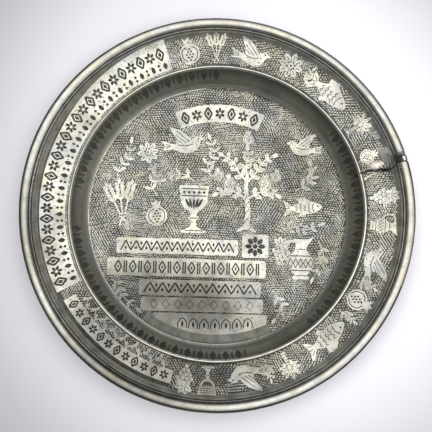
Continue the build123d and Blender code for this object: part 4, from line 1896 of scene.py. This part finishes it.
class PLATE_OT_borders(PlateOperator, bpy.types.Operator):
    """Sets the slanted ticks beside the lip wire and the milling on the reed"""

    bl_idname = "plate.borders"
    bl_label = "Borders"

    def execute(self, context):
        finish = finish_named("rubbed_ridges")
        flange = bpy.data.objects["plate_flange"]
        strip = bpy.data.objects["plate_edge_strip"]
        tick = (1.9, 0.75, 0.3)
        ticks = ridge_row("plate_lip_ticks", flange, TICK_ROW * MM, (102, 254), 250, 32, tick, finish)
        reed = STRIP_INNER + 0.72 * MM + REED_SHIFT
        notch = (1.5, 0.9, 0.3)
        milling = ridge_row("plate_reed_milling", strip, reed, (150, 236), 134, 12, notch, finish)
        hand_over(ticks, "pewter")
        hand_over(milling, "bright_pewter")
        self.floor_line(finish)
        return {"FINISHED"}

    def floor_line(self, finish):
        """Thin raised line where the floor bends up into the wall, worn away at the right."""
        surfaces = surface_of(bpy.data.objects["plate_bowl"])
        radius = FLOOR_WORK + 0.1 * MM
        foot = height_over(surfaces, polar(radius, AWAY_FROM_BREAK, 0), FLOOR_TOP)
        inner = height_over(surfaces, polar(radius - 0.6 * MM, AWAY_FROM_BREAK, 0), FLOOR_TOP)
        outer = height_over(surfaces, polar(radius + 0.6 * MM, AWAY_FROM_BREAK, 0), FLOOR_TOP)
        section = [
            Vector((radius - 0.6 * MM, inner - 0.25 * MM)),
            Vector((radius + 0.6 * MM, outer - 0.25 * MM)),
            Vector((radius + 0.35 * MM, foot + 0.32 * MM)),
            Vector((radius - 0.35 * MM, foot + 0.28 * MM)),
        ]
        line = swept_ring("plate_floor_line", section, math.radians(97), math.radians(140), 180, finish)
        soften(line.data)
        hand_over(line, "pewter")


class PLATE_OT_wall_frieze(PlateOperator, bpy.types.Operator):
    """Engraves the wall with lozenges and uprights, filled dark with age"""

    bl_idname = "plate.wall_frieze"
    bl_label = "Wall frieze"

    def execute(self, context):
        finish = finish_named("faded_cuts")
        bowl = bpy.data.objects["plate_bowl"]
        for side, start, count in (("upper_left", 92, 16), ("lower_left", 188, 19), ("right", -48, 17)):
            sweep = count * FRIEZE_PITCH
            halfway = start + FRIEZE_PITCH / 2
            name = "plate_wall_lozenges_" + side
            size = (12.0, 5.0, FRIEZE_DEPTH)
            angles = (start, start + sweep)
            lozenges = ridge_row(name, bowl, FRIEZE_LOZENGES, angles, count, 0, size, finish, True)
            hand_over(lozenges, "pewter")
            name = "plate_wall_uprights_" + side
            size = (11.0, 1.6, FRIEZE_DEPTH)
            angles = (halfway, halfway + sweep)
            uprights = ridge_row(name, bowl, FRIEZE_UPRIGHTS, angles, count, 0, size, finish)
            hand_over(uprights, "pewter")
        smear = math.degrees(crack_angle(WIRE_INNER))
        dark = finish_named("graver_cut_patina")
        size = (6.0, 2.4, FRIEZE_DEPTH)
        stain = ridge_row("plate_crack_smear", bowl, 133.0 * MM, (smear, smear + 1), 1, 0, size, dark)
        hand_over(stain, "pewter")
        return {"FINISHED"}


class PLATE_OT_stage(PlateOperator, bpy.types.Operator):
    """Sets the pale table, the soft light and the camera"""

    bl_idname = "plate.stage"
    bl_label = "Stage"

    def execute(self, context):
        scene = context.scene
        self.table()
        self.sky(scene)
        self.softbox("softbox_above", (0.1, 0.1, 1.2), 1.2, 22.0)
        self.softbox("softbox_fill", (-0.45, -0.4, 0.4), 0.5, 4.0)
        self.camera(scene)
        scene.view_settings.view_transform = "Standard"
        return {"FINISHED"}

    def table(self):
        """Broad flat board under the plate."""
        half = 4.0
        mesh = bpy.data.meshes.new("table")
        corners = [(-half, -half, 0), (half, -half, 0), (half, half, 0), (-half, half, 0)]
        mesh.from_pydata(corners, [], [(0, 1, 2, 3)])
        mesh.materials.append(painted_board())
        new_piece("table", mesh)

    def sky(self, scene):
        """Room light: bright overhead and dim at the sides, so that level metal shines and slopes go dark."""
        world = bpy.data.worlds.new("studio")
        world.use_nodes = True
        tree = world.node_tree
        scene.world = world
        way = add(tree, "ShaderNodeTexCoord", {})["Generated"]
        zenith = Vector((0.05, 0.2, 1)).normalized()
        height = add(tree, "ShaderNodeVectorMath", {"operation": "DOT_PRODUCT", 0: way, 1: zenith})["Value"]
        share = add(tree, "ShaderNodeMapRange", {"Value": height, "From Min": 0.5, "From Max": 1.0})
        tones = {"data_type": "RGBA", 0: share[0], 6: (0.2, 0.2, 0.21, 1), 7: (1.65, 1.65, 1.65, 1)}
        ceiling = add(tree, "ShaderNodeMix", tones)
        window = polar(1, math.radians(-25), 0.45).normalized()
        beside = add(tree, "ShaderNodeVectorMath", {"operation": "DOT_PRODUCT", 0: way, 1: window})["Value"]
        edge = {"interpolation_type": "SMOOTHSTEP", "Value": beside, "From Min": 0.7, "From Max": 0.97}
        pane = add(tree, "ShaderNodeMapRange", edge)
        lit = {"data_type": "RGBA", "blend_type": "ADD", 0: pane[0], 6: ceiling[2], 7: (0.5, 0.5, 0.5, 1)}
        glow = add(tree, "ShaderNodeMix", lit)
        tree.links.new(glow[2], tree.nodes["Background"].inputs["Color"])

    def softbox(self, name, place, size, power):
        """Square soft light aimed at the plate, which lights the table and doesn't glare in the metal."""
        light = bpy.data.lights.new(name, "AREA")
        light.size = size
        light.energy = power
        lamp = new_piece(name, light)
        lamp.location = place
        lamp.visible_camera = False
        lamp.visible_glossy = False
        lamp.rotation_euler = (-Vector(place)).to_track_quat("-Z", "Y").to_euler()

    def camera(self, scene):
        """Camera almost straight above, with +Y nearly up in its picture."""
        lens = bpy.data.cameras.new("camera")
        lens.lens = CAMERA_LENS
        lens.sensor_width = CAMERA_SENSOR
        camera = new_piece("camera", lens)
        back = polar(math.sin(CAMERA_TILT), CAMERA_LEAN, math.cos(CAMERA_TILT))
        right = polar(1, CAMERA_TURN + math.pi / 2, 0).cross(back).normalized()
        turned = Matrix((right, back.cross(right), back)).transposed().to_4x4()
        camera.matrix_world = Matrix.Translation(CAMERA_TARGET + back * CAMERA_DISTANCE) @ turned
        scene.camera = camera


OPERATORS = (
    PLATE_OT_bowl,
    PLATE_OT_flange,
    PLATE_OT_lip_wire,
    PLATE_OT_edge,
    PLATE_OT_solder,
    PLATE_OT_figures,
    PLATE_OT_hatching,
    PLATE_OT_borders,
    PLATE_OT_wall_frieze,
    PLATE_OT_stage,
)


class PLATE_PT_panel(bpy.types.Panel):
    """Lists the plate's pieces in the order in which they are made"""

    bl_idname = "PLATE_PT_panel"
    bl_label = "Pewter plate"
    bl_space_type = "VIEW_3D"
    bl_region_type = "UI"
    bl_category = "Plate"

    def draw(self, context):
        for group in (context.scene.plate_sizes, context.scene.plate_colours):
            for name in group.__annotations__:
                self.layout.prop(group, name)
        for operator in OPERATORS:
            self.layout.operator(operator.bl_idname)


CLASSES = (PlateSizes, PlateColours, *OPERATORS, PLATE_PT_panel)


def register():
    for cls in CLASSES:
        bpy.utils.register_class(cls)
    bpy.types.Scene.plate_sizes = bpy.props.PointerProperty(type=PlateSizes)
    bpy.types.Scene.plate_colours = bpy.props.PointerProperty(type=PlateColours)


def unregister():
    del bpy.types.Scene.plate_colours
    del bpy.types.Scene.plate_sizes
    for cls in reversed(CLASSES):
        bpy.utils.unregister_class(cls)


def main():
    register()
    for operator in OPERATORS:
        group, name = operator.bl_idname.split(".")
        getattr(getattr(bpy.ops, group), name)()


if __name__ == "__main__":
    main()
